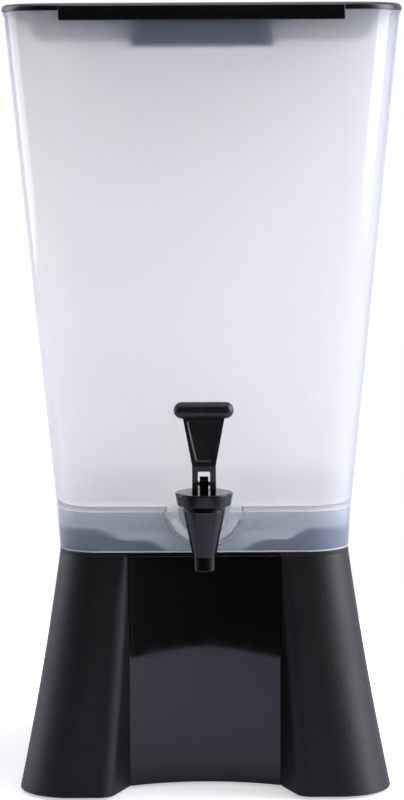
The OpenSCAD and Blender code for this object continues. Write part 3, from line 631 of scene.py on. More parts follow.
def trough_band(tree, radius, z, front):
    """One inside a half-round trough along y under a height, behind a front plane, and zero outside it.

    The band fades within a millimetre past the trough's wall, behind the plane and under the height.
    """
    coords = add(tree, "TexCoord").outputs["Object"]
    across = add(tree, "VectorMath", {0: coords, 1: (1.0, 0.0, 1.0), 2: (0.0, 0.0, -z)}, operation="MULTIPLY_ADD")
    far = add(tree, "VectorMath", {0: across.outputs["Vector"]}, operation="LENGTH").outputs["Value"]
    near = spread(tree, far, 1.0, 0.0, radius + 0.0002, radius + 0.0006)
    behind = spread(tree, along(tree, "Y"), 0.0, 1.0, front, front + MARGIN)
    below = spread(tree, along(tree, "Z"), 1.0, 0.0, z - 0.0003, z)
    return fold(tree, "MULTIPLY", near, behind, below)


def mix_values(tree, factor, first, second):
    """Mixes two values by a factor."""
    return add(tree, "Mix", {"Factor": factor, "A": first, "B": second}).outputs["Result"]


def blend_colours(tree, factor, first, second):
    """Mixes two plain colours by a factor."""
    return add(tree, "Mix", {"Factor": factor, "A": (*first, 1.0), "B": (*second, 1.0)},
               data_type="RGBA").outputs["Result"]


def mix_shaders(tree, factor, first, second):
    """Mixes two shaders by a factor."""
    return add(tree, "MixShader", {"Fac": factor, 1: first, 2: second}).outputs["Shader"]


def bump(tree, height, distance, strength):
    """Relief from a texture."""
    return add(tree, "Bump", {"Height": height, "Distance": distance, "Strength": strength}).outputs["Normal"]


def tinted(tree, texture, base, darker, lighter):
    """Colour that a texture makes darker and lighter."""
    dark, light = (tuple(min(1.0, channel * factor) for channel in base) for factor in (darker, lighter))
    return blend_colours(tree, spread(tree, texture, 0.0, 1.0), dark, light)


def grained_black(name):
    """Matte black moulded plastic with a spark-eroded grain."""
    material, tree, surface = blank_finish(name)
    grain = fold(tree, "ADD", noise(tree, 1500.0, 2.0), noise(tree, 560.0, 2.0))
    cloud = noise(tree, 18.0, 4.0)
    feed(tree, surface, {
        "Base Color": tinted(tree, cloud, bpy.context.scene.dispenser_finishes.grained, 0.85, 1.15),
        "Roughness": spread(tree, cloud, 0.46, 0.54),
        "Normal": bump(tree, grain, 0.00018, 0.6),
        "Specular IOR Level": 0.46,
    })
    return material


def deck_black(name):
    """Black plastic that the mould leaves polished, with fine scuffs from the container."""
    material, tree, surface = blank_finish(name)
    scuff = noise(tree, 90.0, 6.0, (1.0, 0.3, 1.0))
    cloud = noise(tree, 14.0, 3.0)
    feed(tree, surface, {
        "Base Color": tinted(tree, cloud, bpy.context.scene.dispenser_finishes.grained, 0.85, 1.15),
        "Roughness": spread(tree, scuff, 0.06, 0.12),
        "Normal": bump(tree, cloud, 0.0002, 0.05),
        "Coat Weight": 1.0,
        "Coat Roughness": 0.05,
    })
    return material


def satin_black(name):
    """Satin black moulded plastic, polished on the lid's underside."""
    material, tree, surface = blank_finish(name)
    grain = noise(tree, 2200.0, 2.0)
    cloud = noise(tree, 25.0, 4.0)
    smooth = height_band(tree, LID_LOW.z - MARGIN, VESSEL_HIGH.z - MARGIN, 0.0002)
    feed(tree, surface, {
        "Base Color": tinted(tree, cloud, bpy.context.scene.dispenser_finishes.satin, 0.85, 1.15),
        "Roughness": mix_values(tree, smooth, spread(tree, cloud, 0.27, 0.34), spread(tree, cloud, 0.08, 0.12)),
        "Normal": bump(tree, grain, 0.00003, between(tree, smooth, 0.35, 0.02)),
    })
    return material


def polished_black(name, index, dull):
    """Polished black plastic with faint wiping marks, which mirrors as its index and least roughness say."""
    material, tree, surface = blank_finish(name)
    wipe = noise(tree, 60.0, 6.0, (1.0, 1.0, 0.25))
    cloud = noise(tree, 12.0, 3.0)
    feed(tree, surface, {
        "Base Color": tinted(tree, cloud, bpy.context.scene.dispenser_finishes.polished, 0.8, 1.2),
        "Roughness": spread(tree, wipe, dull, dull + 0.04),
        "Normal": bump(tree, cloud, 0.0002, 0.08),
        "IOR": index,
    })
    return material


def fascia_black(name):
    """Polished black of the fascia."""
    return polished_black(name, 1.5, 0.03)


def tap_black(name):
    """Polished black of the tap, a little duller than the fascia's."""
    return polished_black(name, 1.42, 0.12)


def lever_black(name):
    """Black plastic of the lever, dulled by handling."""
    material, tree, surface = blank_finish(name)
    wear = noise(tree, 90.0, 5.0)
    feed(tree, surface, {
        "Base Color": tinted(tree, wear, bpy.context.scene.dispenser_finishes.lever, 0.85, 1.15),
        "Roughness": spread(tree, wear, 0.32, 0.42),
        "Normal": bump(tree, noise(tree, 1800.0, 2.0), 0.00002, 0.25),
    })
    return material


def milky_plastic(name):
    """Clear natural plastic with a polished coat, before its haze and its veil are laid over it."""
    material, tree, clear = blank_finish(name)
    flow = noise(tree, 9.0, 3.0, (1.0, 1.0, 0.35))
    relief = bump(tree, noise(tree, 240.0, 2.0), 0.00005, 0.05)
    feed(tree, clear, {
        "Base Color": tinted(tree, flow, bpy.context.scene.dispenser_finishes.milky, 0.985, 1.0),
        "Roughness": spread(tree, flow, 0.14, 0.20),
        "Normal": relief,
        "Transmission Weight": 1.0,
        "IOR": 1.07,
        "Coat Weight": 1.0,
        "Coat Roughness": 0.12,
        "Coat IOR": 1.45,
    })
    return material, tree, clear, relief


def lay_veil(tree, through, veil, white, relief):
    """Mixes the light that the plastic sends back, cool where it is thin and white where thick or where a
    highlight is painted on, with the rest.
    """
    tint = blend_colours(tree, white, bpy.context.scene.dispenser_finishes.cloud_tint, PALE)
    cloud = add(tree, "BsdfDiffuse", {"Color": tint, "Normal": relief})
    show(tree, mix_shaders(tree, veil, through, cloud.outputs["BSDF"]))


def milky_polished(name):
    """Polished outside of the translucent container, with a highlight painted on as a white line at the skirt's
    foot.
    """
    finishes = bpy.context.scene.dispenser_finishes
    material, tree, clear, relief = milky_plastic(name)
    low = VESSEL_LOW.z
    # Painted highlight: the white band over the skirt's lowest millimetre stands in for the bright line that the
    # edge catches.
    foot = height_band(tree, low - MARGIN, low + MARGIN + CLOSE, 0.0002)
    skirt = height_band(tree, low, low + bpy.context.scene.dispenser_vessel.skirt - MARGIN, 0.003)
    veil = fold(tree, "MAXIMUM", between(tree, foot, finishes.veil, finishes.foot_veil),
                between(tree, skirt, finishes.veil, finishes.skirt_veil))
    lay_veil(tree, clear.outputs["BSDF"], veil, foot, relief)
    return material


def milky_matte(name):
    """Matte inside of the container, which scatters most of the light that comes through.

    The floor and the sump scatter less of it, and they send more light back.
    """
    finishes = bpy.context.scene.dispenser_finishes
    sizes = bpy.context.scene.dispenser_vessel
    material, tree, clear, relief = milky_plastic(name)
    low = VESSEL_LOW.z
    under = low + sizes.skirt
    floor_top = under + sizes.floor
    behind = MID_Y - vessel_width(sizes, low) / 2.0 + 2.0 * sizes.wall
    ledge_start, ledge_end = behind + 0.024, behind + 0.034
    floor = height_band(tree, floor_top - 0.0005, floor_top + 0.0005, 0.0005)
    trough = trough_band(tree, sizes.sump_radius, floor_top, VESSEL_LOW.y)
    walls = trough_band(tree, sizes.sump_radius, floor_top, behind)
    ledge = fold(tree, "MULTIPLY", height_band(tree, under - 0.0003, under + 0.0003, 0.0002),
                 spread(tree, along(tree, "Y"), 1.0, 0.0, ledge_start, ledge_end))
    white = fold(tree, "MAXIMUM", floor, walls, ledge)
    veil = fold(tree, "MAXIMUM", between(tree, floor, finishes.veil, finishes.floor_veil),
                between(tree, walls, finishes.veil, finishes.sump_veil),
                between(tree, ledge, finishes.veil, finishes.ledge_veil))
    feed(tree, clear, {"Coat Weight": white})
    skirt = height_band(tree, low, under - 2.0 * MARGIN, 2.0 * MARGIN)
    haze = add(tree, "BsdfTranslucent", {
        "Color": blend_colours(tree, skirt, finishes.haze_tint, finishes.skirt_tint),
        "Normal": relief,
    })
    below = height_band(tree, low, floor_top - MARGIN, 0.0005)
    scatter = fold(tree, "MINIMUM", between(tree, below, finishes.haze, finishes.skirt_haze),
                   between(tree, fold(tree, "MAXIMUM", floor, trough), 1.0, finishes.floor_haze))
    through = mix_shaders(tree, scatter, clear.outputs["BSDF"], haze.outputs["BSDF"])
    lay_veil(tree, through, veil, white, relief)
    return material


def matte_rubber(name):
    """Soft black rubber with a dusty bloom."""
    material, tree, surface = blank_finish(name)
    bloom = noise(tree, 220.0, 5.0)
    feed(tree, surface, {
        "Base Color": tinted(tree, bloom, bpy.context.scene.dispenser_finishes.rubber, 0.8, 1.5),
        "Roughness": spread(tree, bloom, 0.65, 0.85),
        "Normal": bump(tree, noise(tree, 2500.0, 2.0), 0.00004, 0.4),
    })
    return material


def food_silicone(name):
    """Cloudy silicone."""
    material, tree, surface = blank_finish(name)
    cloud = noise(tree, 300.0, 3.0)
    feed(tree, surface, {
        "Base Color": tinted(tree, cloud, bpy.context.scene.dispenser_finishes.silicone, 0.92, 1.05),
        "Roughness": spread(tree, cloud, 0.38, 0.5),
        "Normal": bump(tree, noise(tree, 1800.0, 2.0), 0.00003, 0.3),
        "Subsurface Weight": 0.4,
        "Subsurface Radius": (0.002, 0.002, 0.0018),
    })
    return material


def cloudy_silicone(name):
    """Bluish translucent silicone that lets light through."""
    material, tree, surface = blank_finish(name)
    cloud = noise(tree, 260.0, 3.0)
    tint = tinted(tree, cloud, bpy.context.scene.dispenser_finishes.gasket, 0.94, 1.04)
    feed(tree, surface, {"Base Color": tint, "Roughness": spread(tree, cloud, 0.4, 0.5)})
    haze = add(tree, "BsdfTranslucent", {"Color": tint})
    show(tree, mix_shaders(tree, 0.6, surface.outputs["BSDF"], haze.outputs["BSDF"]))
    return material


def drawn_steel(name):
    """Stainless steel with fine drawing lines."""
    material, tree, surface = blank_finish(name)
    lines = noise(tree, 900.0, 4.0, (1.0, 1.0, 8.0))
    feed(tree, surface, {
        "Base Color": tinted(tree, lines, bpy.context.scene.dispenser_finishes.steel, 0.85, 1.1),
        "Roughness": spread(tree, lines, 0.22, 0.38),
        "Normal": bump(tree, lines, 0.00002, 0.25),
        "Metallic": 1.0,
    })
    return material


def fascia_arc(sizes):
    """Middle and front radius of the fascia's arc, from its box."""
    half = (FASCIA_HIGH.x - FASCIA_LOW.x) / 2.0
    bow = FASCIA_HIGH.y - FASCIA_LOW.y - sizes.fascia_thickness
    # The box's front is at the panel's edges and its back in the middle of the panel's rear face.
    radius = (half * half + bow * bow) / (2.0 * bow)
    return FASCIA_HIGH.y - sizes.fascia_thickness - radius, radius


def stand_corners(sizes, z, inset):
    """Corners of the stand's outline at a height, moved inward by a wall, with the cup recess in its front."""
    under = VESSEL_LOW.z - sizes.deck_thickness
    part = (under - z) / (under - BASE_LOW.z)
    foot_width = BASE_HIGH.x - BASE_LOW.x
    # Both sides bow in, most of all half way down.
    width = blend_between(sizes.deck_width, foot_width, part) - 8.0 * sizes.side_bow * part * (1.0 - part)
    half = width / 2.0 - inset
    corner = blend_between(sizes.deck_corner, sizes.foot_corner, part) - inset
    side_x = sizes.recess_width / 2.0 + inset
    front = sizes.deck_width / 2.0 - sizes.recess_setback - inset * math.tan(sizes.recess_splay / 2.0)
    side_y = -min(front, half - TOUCH)
    depth = half + side_y
    mouth_x = side_x + depth * math.tan(sizes.recess_splay)
    # The rounding may take up at most four fifths of the recess's side wall.
    edge = min(sizes.recess_edge, 0.8 * depth / (1.0 - math.sin(sizes.recess_splay)))
    arc_mid, arc_radius = fascia_arc(sizes)
    behind_fascia = 5.0 * TOUCH
    back = arc_radius + sizes.fascia_thickness + behind_fascia + inset

    def back_y(x):
        return arc_mid - MID_Y + math.sqrt(back * back - x * x)

    ends = max(back_y(side_x), side_y + TOUCH)
    corners = [
        (mouth_x, -half, edge), (half, -half, corner), (half, half, corner), (-half, half, corner),
        (-half, -half, corner), (-mouth_x, -half, edge), (-side_x, side_y, 0.0), (-side_x, ends, 0.0),
        (side_x, ends, 0.0), (side_x, side_y, 0.0),
    ]
    return corners, (corners.index((-side_x, ends, 0.0)), back_y)


class DISPENSER_OT_stand(bpy.types.Operator):
    """Models the flared stand with its cup recess, deck, collar, ribs and bosses"""

    bl_idname = "dispenser.stand"
    bl_label = "Stand"

    def execute(self, context):
        sizes = context.scene.dispenser_stand
        deck = VESSEL_LOW.z
        under = deck - sizes.deck_thickness
        levels = 10
        bm = bmesh.new()

        def ring(z, inset):
            corners, bow = stand_corners(sizes, z, inset)
            return outline(bm, corners, 10, Matrix.Translation((0.0, MID_Y, z)), bow)

        heights = [blend_between(BASE_LOW.z, under + TOUCH, i / levels) for i in range(levels + 1)]
        outer = [ring(z, 0.0) for z in heights]
        inner = [ring(z, sizes.wall) for z in reversed(heights)]
        skin(bm, outer + inner + [outer[0]], False, False)
        soften(bm, outer[0] + inner[-1], sizes.edge, 3)
        self.deck(bm, sizes, under, deck)
        self.ribs(bm, sizes, under)
        foot = middle("foot_front_right")
        reach = abs(foot.y - MID_Y)
        for x in (-foot.x, foot.x):
            for y in (-reach, reach):
                place = Matrix.Translation((x, MID_Y + y, BASE_LOW.z + sizes.boss_height / 2.0))
                cylinder(sizes.boss_radius, sizes.boss_height, place, 32, bm)
        self.collar(bm, sizes, deck)
        piece = finish_piece("stand_moulding", bm, "stand", "matte_black", grained_black, "base_shell")
        front = MID_Y - sizes.deck_width / 2.0 + sizes.edge
        mouth = sizes.recess_width / 2.0

        def polished(at):
            return at.z > deck - CLOSE or (at.z > under and at.y < front and abs(at.x) < mouth)

        refinish(piece, deck_black, polished)
        return {"FINISHED"}

    def deck(self, bm, sizes, under, deck):
        """Adds the deck, divided where its edge passes over the recess."""
        slab = bmesh.new()
        loops = [square_loop(slab, sizes.deck_width, sizes.deck_corner, z, segments=16) for z in (under, deck)]
        skin(slab, loops)
        soften(slab, loops[0], sizes.edge / 4.0, 2)
        soften(slab, loops[1], sizes.edge, 3)
        for side in (-1.0, 1.0):
            cut_plane(slab, (side * sizes.recess_width / 2.0, 0.0, 0.0), (side, 0.0, 0.0), False)
        join(bm, slab)

    def ribs(self, bm, sizes, under):
        """Adds the ribs under the deck."""
        reach = sizes.deck_width - sizes.wall
        behind_recess = sizes.recess_setback * 6.0
        for offset in (-sizes.rib_offset, sizes.rib_offset):
            for across in (True, False):
                front = 0.0 if across else behind_recess
                size = (reach, sizes.rib_thickness) if across else (sizes.rib_thickness, reach - front)
                at = (0.0, MID_Y + offset) if across else (offset, MID_Y + front / 2.0)
                place = Matrix.Translation((*at, under - sizes.rib_depth / 2.0 + TOUCH))
                place = place @ Matrix.Diagonal((*size, sizes.rib_depth, 1.0))
                bmesh.ops.create_cube(bm, size=1.0, matrix=place)

    def collar(self, bm, sizes, deck):
        """Adds the collar that the container drops over, with its stepped front gap."""
        inset = bpy.context.scene.dispenser_vessel.wall + sizes.collar_clearance
        width, corner = sizes.deck_width - 2.0 * inset, sizes.deck_corner - inset
        thickness = sizes.collar_thickness
        top = BASE_HIGH.z
        foot = deck - TOUCH
        ring = bmesh.new()
        loops = [square_loop(ring, width - 2.0 * wall, corner - wall, z)
                 for wall, z in ((0.0, foot), (0.0, top), (thickness, top), (thickness, foot))]
        skin(ring, loops + [loops[0]], False, False)
        low = sizes.collar_gap / 2.0
        step = low + sizes.collar_climb
        climb = step + sizes.collar_stretch
        full = climb + sizes.collar_climb
        height = top - deck
        past, bend, root = 0.002, 0.006, 0.003
        half = [(full + 2.0 * past, height + past, 0.0), (full, height, bend), (climb, sizes.collar_step, bend),
                (step, sizes.collar_step, bend), (low, 0.0, root)]
        notch = half + [(-x, z, rounding) for x, z, rounding in reversed(half)]
        place = Matrix.Translation((0.0, MID_Y - width / 2.0, deck)) @ UPRIGHT
        ring = combine(ring, prism(notch, -2.0 * BEYOND, 2.0 * BEYOND, place, 8), "DIFFERENCE")
        soften_sharp(ring, PLAIN, 30.0, 2)
        join(bm, ring)


class DISPENSER_OT_fascia(bpy.types.Operator):
    """Models the gloss fascia at the back of the cup recess"""

    bl_idname = "dispenser.fascia"
    bl_label = "Fascia"

    def execute(self, context):
        sizes = context.scene.dispenser_stand
        arc_mid, radius = fascia_arc(sizes)
        half = (FASCIA_HIGH.x - FASCIA_LOW.x) / 2.0
        # The arc is made a little long, and its ends are cut upright.
        sweep = 1.05 * math.asin(half / radius)
        bm = bmesh.new()
        start = Matrix.Translation((0.0, arc_mid, 0.0)) @ Matrix.Rotation(QUARTER - sweep, 4, "Z")
        profile = band(radius, radius + sizes.fascia_thickness, FASCIA_LOW.z, FASCIA_HIGH.z, SOFT)
        spun(bm, outline(bm, profile, 3, start @ UPRIGHT), 2.0 * sweep, 56, arc_mid)
        ends = []
        for side in (-1.0, 1.0):
            loop = cut_plane(bm, (side * half, 0.0, 0.0), (side, 0.0, 0.0))
            bmesh.ops.edgeloop_fill(bm, edges=loop)
            ends += loop
        soften(bm, ends, SMALL, 2)
        finish_piece("recess_fascia", bm, "stand", "gloss_black", fascia_black, "front_panel")
        return {"FINISHED"}


class DISPENSER_OT_feet(bpy.types.Operator):
    """Models the four plug-in rubber feet"""

    bl_idname = "dispenser.feet"
    bl_label = "Feet"

    def execute(self, context):
        plug_share = 5.0 / 9.0
        for corner in ("front_left", "front_right", "rear_left", "rear_right"):
            node = "foot_" + corner
            low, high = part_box(node)
            at = middle(node)
            radius = (high.x - low.x) / 2.0
            plug = radius * plug_share
            drop = BASE_LOW.z
            bm = turned([(0.0, low.z, 0.0), (radius, low.z, FULL), (radius, drop, FINE), (plug, drop, HAIR),
                         (plug, high.z, FULL), (0.0, high.z, 0.0)], Matrix.Translation((at.x, at.y, 0.0)), 40)
            finish_piece("rubber_foot_" + corner, bm, "stand", "rubber", matte_rubber, node)
        return {"FINISHED"}


def vessel_width(sizes, z):
    """Outside width of the container at a height."""
    deck = VESSEL_LOW.z
    floor_top = deck + sizes.skirt + sizes.floor
    bottom = bpy.context.scene.dispenser_stand.deck_width
    floor_width = bottom + 2.0 * sizes.lean
    top_width = VESSEL_HIGH.x - VESSEL_LOW.x - 2.0 * sizes.rim_out
    rim_foot = VESSEL_HIGH.z - sizes.rim_height
    if z < floor_top:
        return blend_between(bottom, floor_width, (z - deck) / (floor_top - deck))
    return blend_between(floor_width, top_width, (min(z, rim_foot) - floor_top) / (rim_foot - floor_top))


def vessel_corner(sizes, z):
    """Outside corner radius of the container at a height."""
    deck, rim_foot = VESSEL_LOW.z, VESSEL_HIGH.z - sizes.rim_height
    bottom = bpy.context.scene.dispenser_stand.deck_corner
    return blend_between(bottom, sizes.top_corner, (z - deck) / (rim_foot - deck))


class DISPENSER_OT_container(bpy.types.Operator):
    """Models the translucent container with its skirt, sump and tap pad"""

    bl_idname = "dispenser.container"
    bl_label = "Container"

    def execute(self, context):
        sizes = context.scene.dispenser_vessel
        deck, rim = VESSEL_LOW.z, VESSEL_HIGH.z
        floor = deck + sizes.skirt
        floor_top = floor + sizes.floor
        rim_foot = rim - sizes.rim_height
        wall = sizes.wall
        bm = bmesh.new()

        def ring(z, inset):
            return square_loop(bm, vessel_width(sizes, z) - 2.0 * inset, vessel_corner(sizes, z) - inset, z,
                               segments=16)

        def front(z):
            return MID_Y - vessel_width(sizes, z) / 2.0

        bead = -sizes.rim_out
        inside_floor = ring(floor_top, wall)
        rim_inner, rim_outer = ring(rim, wall), ring(rim, bead)
        bead_foot, wall_top = ring(rim_foot, bead), ring(rim_foot, 0.0)
        skirt_outer, skirt_inner = ring(deck, 0.0), ring(deck, wall)
        under_floor = ring(floor, wall)
        skin(bm, [inside_floor, ring(rim_foot, wall), rim_inner, rim_outer, bead_foot, wall_top,
                  ring(floor_top, 0.0), skirt_outer, skirt_inner, under_floor])
        soften(bm, inside_floor, sizes.cove, 6)
        soften(bm, rim_inner + rim_outer + bead_foot + skirt_outer + skirt_inner, PLAIN, 3)

        sump_end = front(floor_top) + wall + sizes.sump_length
        sump_bend = 0.002
        sump = self.bar(sizes.sump_radius, front(deck) + wall / 2.0, sump_end + wall, floor_top, sump_bend,
                        -sizes.floor / 2.0)
        bm = combine(bm, sump, "UNION")
        hollow = self.bar(sizes.sump_radius - wall, front(floor_top - sizes.sump_radius) + wall, sump_end,
                          floor_top, sump_bend, sizes.floor)
        bm = combine(bm, hollow, "DIFFERENCE")
        pad = sizes.pad_diameter / 2.0
        pad_front = front(SHANK_Z + pad) - sizes.pad_proud
        pad_back = front(SHANK_Z - pad) + wall + sizes.pad_proud
        bm = combine(bm, self.bar(pad, pad_front, pad_back, SHANK_Z, SMALL), "UNION")
        hole = context.scene.dispenser_tap.shank / 2.0 + SLIP
        bm = combine(bm, self.bar(hole, pad_front - BEYOND, pad_back + BEYOND, SHANK_Z, 0.0), "DIFFERENCE")
        piece = finish_piece("vessel_shell", bm, "vessel", "milky", milky_polished, "container")

        def inside(at):
            half = vessel_width(sizes, at.z) / 2.0
            corner = vessel_corner(sizes, at.z)
            over = Vector((max(abs(at.x) - half + corner, 0.0), max(abs(at.y - MID_Y) - half + corner, 0.0)))
            return over.length < corner - SMALL

        refinish(piece, milky_matte, inside)
        return {"FINISHED"}

    def bar(self, radius, front, back, z, rounding, top=None):
        """Round bar along y, cut off at a height above its axis where one is given."""
        bm = turned([(0.0, front, 0.0), (radius, front, 0.0), (radius, back, rounding), (0.0, back, 0.0)],
                    along_y(z), 96, 4)
        if top is not None:
            clean(bm)
            bmesh.ops.contextual_create(bm, geom=cut_plane(bm, (0.0, 0.0, z + top), UP))
        return bm


class DISPENSER_OT_lid(bpy.types.Operator):
    """Models the lid with its sunken tray, finger well and front grip"""

    bl_idname = "dispenser.lid"
    bl_label = "Lid"

    def execute(self, context):
        sizes = context.scene.dispenser_lid
        vessel = context.scene.dispenser_vessel
        top, seat = LID_HIGH.z, VESSEL_HIGH.z
        width = LID_HIGH.x - LID_LOW.x
        corner = vessel.top_corner + (width - vessel_width(vessel, VESSEL_HIGH.z - vessel.rim_height)) / 2.0
        tray = width - 2.0 * sizes.tray_inset
        wall = sizes.thickness
        bm = bmesh.new()

        def edge_ring(z, inset=0.0):
            return square_loop(bm, width - 2.0 * inset, corner - inset, z, segments=16)

        def tray_ring(z, inset=0.0):
            return square_loop(bm, tray - 2.0 * inset, sizes.tray_corner - inset, z, segments=16)

        tray_floor = tray_ring(top - sizes.tray_depth + wall, wall)
        tray_lip = tray_ring(top, wall)
        edge_top, edge_foot = edge_ring(top), edge_ring(seat)
        seat_inner = edge_ring(seat, sizes.seat)
        plate_outer = edge_ring(top - wall, sizes.seat)
        tray_root = tray_ring(top - wall)
        tray_under = tray_ring(top - sizes.tray_depth)
        skin(bm, [tray_floor, tray_lip, edge_top, edge_foot, seat_inner, plate_outer, tray_root, tray_under])
        soften(bm, tray_floor, sizes.tray_round - wall, 8)
        soften(bm, tray_under, sizes.tray_round, 8)
        soften(bm, edge_top, sizes.edge, 6)
        soften(bm, tray_lip, 2.0 * SOFT, 3)
        soften(bm, edge_foot + seat_inner, SMALL, 2)

        well_z = LID_LOW.z
        front = MID_Y - vessel_width(vessel, well_z) / 2.0 + vessel.wall + sizes.well_clearance
        back = MID_Y - tray / 2.0 + sizes.tray_round + sizes.well_reach
        bm = combine(bm, self.well(sizes, front, back, well_z, top - wall / 2.0, 0.0), "UNION")
        bm = combine(bm, self.well(sizes, front, back, well_z + wall, top + BEYOND, wall), "DIFFERENCE")
        bm = combine(bm, self.grip(sizes, MID_Y - width / 2.0 + sizes.seat), "UNION")
        finish_piece("lid_moulding", bm, "cover", "matte_black", satin_black, "lid")
        return {"FINISHED"}

    def well(self, sizes, front, back, low, high, inset):
        """Box of the finger well, drawn in by a wall."""
        bm = bmesh.new()
        loops = [square_loop(bm, sizes.well_width - 2.0 * inset, sizes.well_corner - inset, z,
                             back - front - 2.0 * inset, (front + back) / 2.0, 8) for z in (low, high)]
        skin(bm, loops)
        floor_bend = 0.002
        soften(bm, loops[0], floor_bend, 4)
        return bm

    def grip(self, sizes, behind):
        """Bar at the front of the lid, which hangs in front of the rim."""
        rim = VESSEL_HIGH.z
        low = rim - sizes.flap_drop
        high = LID_HIGH.z - sizes.edge / 2.0
        half = sizes.flap_width / 2.0
        ends = min(sizes.flap_end, (high - low) / 2.0 - TOUCH)
        bm = prism(four_corners(half, half, low, high, ends, ends), -behind, -LID_LOW.y, UPRIGHT, 8)
        soften_sharp(bm, FULL)
        block, wide = 0.1, 0.4
        place = Matrix.Translation((0.0, VESSEL_LOW.y - sizes.flap_clearance + block / 2.0, rim - block / 2.0))
        cutter = bmesh.new()
        bmesh.ops.create_cube(cutter, size=1.0, matrix=place @ Matrix.Diagonal((wide, block, block, 1.0)))
        return combine(bm, cutter, "DIFFERENCE")


class DISPENSER_OT_tap_body(bpy.types.Operator):
    """Models the tap's cone, tip, neck, flange and threaded shank"""

    bl_idname = "dispenser.tap_body"
    bl_label = "Tap body"

    def execute(self, context):
        sizes = context.scene.dispenser_tap
        low, high = BODY_LOW.z, BODY_HIGH.z
        cone_low = low + sizes.tip_height
        cone_top = cone_low + sizes.cone_height
        cone_radius = SPOUT_Y - BODY_LOW.y
        seat = cone_top - sizes.seat_depth
        tip, bore, tip_bend = sizes.tip_top / 2.0, sizes.outlet / 2.0, 0.002
        chamber = cone_radius - sizes.chamber_wall
        seat_radius = blend_between(tip, cone_radius, (seat - cone_low) / sizes.cone_height) - sizes.chamber_wall
        neck = sizes.neck / 2.0
        bm = turned([(bore, low, SMALL), (sizes.tip_end / 2.0, low, FULL), (tip, cone_low, tip_bend),
                     (cone_radius, cone_top, SOFT), (neck, cone_top, HAIR), (neck, high, SMALL),
                     (chamber, high, FINE), (chamber, cone_top, 0.0), (seat_radius, seat, 0.0),
                     (bore, seat, PLAIN)], ON_SPOUT, 96, 4)
        self.shank(bm, sizes, cone_radius)
        finish_piece("tap_housing", bm, "vessel", "gloss_black", tap_black, "tap_body")
        return {"FINISHED"}

    def shank(self, bm, sizes, cone_radius):
        """Adds the flange, and the bored shank with its thread behind it."""
        outer, bore = sizes.shank / 2.0, sizes.inlet / 2.0
        thread = 0.3 * sizes.pitch
        root = outer - thread
        # The shank starts inside the cone's wall.
        start = SPOUT_Y + 0.78 * cone_radius
        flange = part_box("outer_gasket")[0].y
        end = BODY_HIGH.y
        turned([(bore, start, 0.0), (outer, start, 0.0), (outer, flange, 0.0), (root, flange, 0.0),
                (root, end, SMALL), (bore, end, SMALL)], ON_SHANK, 64, bm=bm)
        face = flange - sizes.flange_thickness
        turned([(outer - TOUCH, face, 0.0), (sizes.flange / 2.0, face, FULL), (sizes.flange / 2.0, flange, FINE),
                (outer - TOUCH, flange, 0.0)], ON_SHANK, 64, bm=bm)
        low, high = flange + sizes.pitch, end - sizes.pitch
        coil(bm, 2.0 * thread, root, low, high, (high - low) / sizes.pitch, ON_SHANK, 8, 36)


class DISPENSER_OT_tap_bonnet(bpy.types.Operator):
    """Models the bonnet that closes the tap's chamber"""

    bl_idname = "dispenser.tap_bonnet"
    bl_label = "Tap bonnet"

    def execute(self, context):
        sizes = context.scene.dispenser_tap
        low, high = BONNET_LOW.z, BONNET_HIGH.z
        top = (BONNET_HIGH.x - BONNET_LOW.x) / 2.0
        inner = sizes.neck / 2.0 + SLIP
        guide = sizes.stem / 2.0 + sizes.stem_clearance
        under = high - sizes.bonnet_top
        edge = sizes.bonnet_edge
        bm = turned([(inner, low, FINE), (sizes.bonnet_foot / 2.0, low, edge), (top, high, edge),
                     (guide, high, FINE), (guide, under, FINE), (inner, under, FINE)], ON_SPOUT, 128, 5)
        finish_piece("tap_cap", bm, "vessel", "gloss_black", tap_black, "tap_bonnet")
        return {"FINISHED"}


class DISPENSER_OT_tap_fixings(bpy.types.Operator):
    """Models the gaskets, slip washer and nut that hold the tap in the wall"""

    bl_idname = "dispenser.tap_fixings"
    bl_label = "Tap fixings"

    def execute(self, context):
        shank = context.scene.dispenser_tap.shank / 2.0
        rings = (
            ("outer_gasket", "rubber", matte_rubber, PLAIN),
            ("inner_gasket", "silicone", cloudy_silicone, PLAIN),
            ("slip_washer", "matte_black", grained_black, FINE),
        )
        for node, slot, maker, rounding in rings:
            low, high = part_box(node)
            bm = turned(band(shank + SLIP, (high.x - low.x) / 2.0, low.y, high.y, rounding), ON_SHANK, 80)
            finish_piece(node + "_ring", bm, "vessel", slot, maker, node)
        low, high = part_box("tap_nut")
        place = ON_SHANK @ Matrix.Translation((0.0, 0.0, (low.y + high.y) / 2.0))
        bm = cylinder((high.x - low.x) / math.sqrt(3.0), high.y - low.y, place, 6)
        hole = turned(band(0.0, shank + CLOSE, low.y - BEYOND, high.y + BEYOND), ON_SHANK, 64)
        bm = combine(bm, hole, "DIFFERENCE")
        nut_edge = 0.0007
        soften_sharp(bm, nut_edge)
        finish_piece("shank_nut", bm, "vessel", "matte_black", grained_black, "tap_nut")
        return {"FINISHED"}


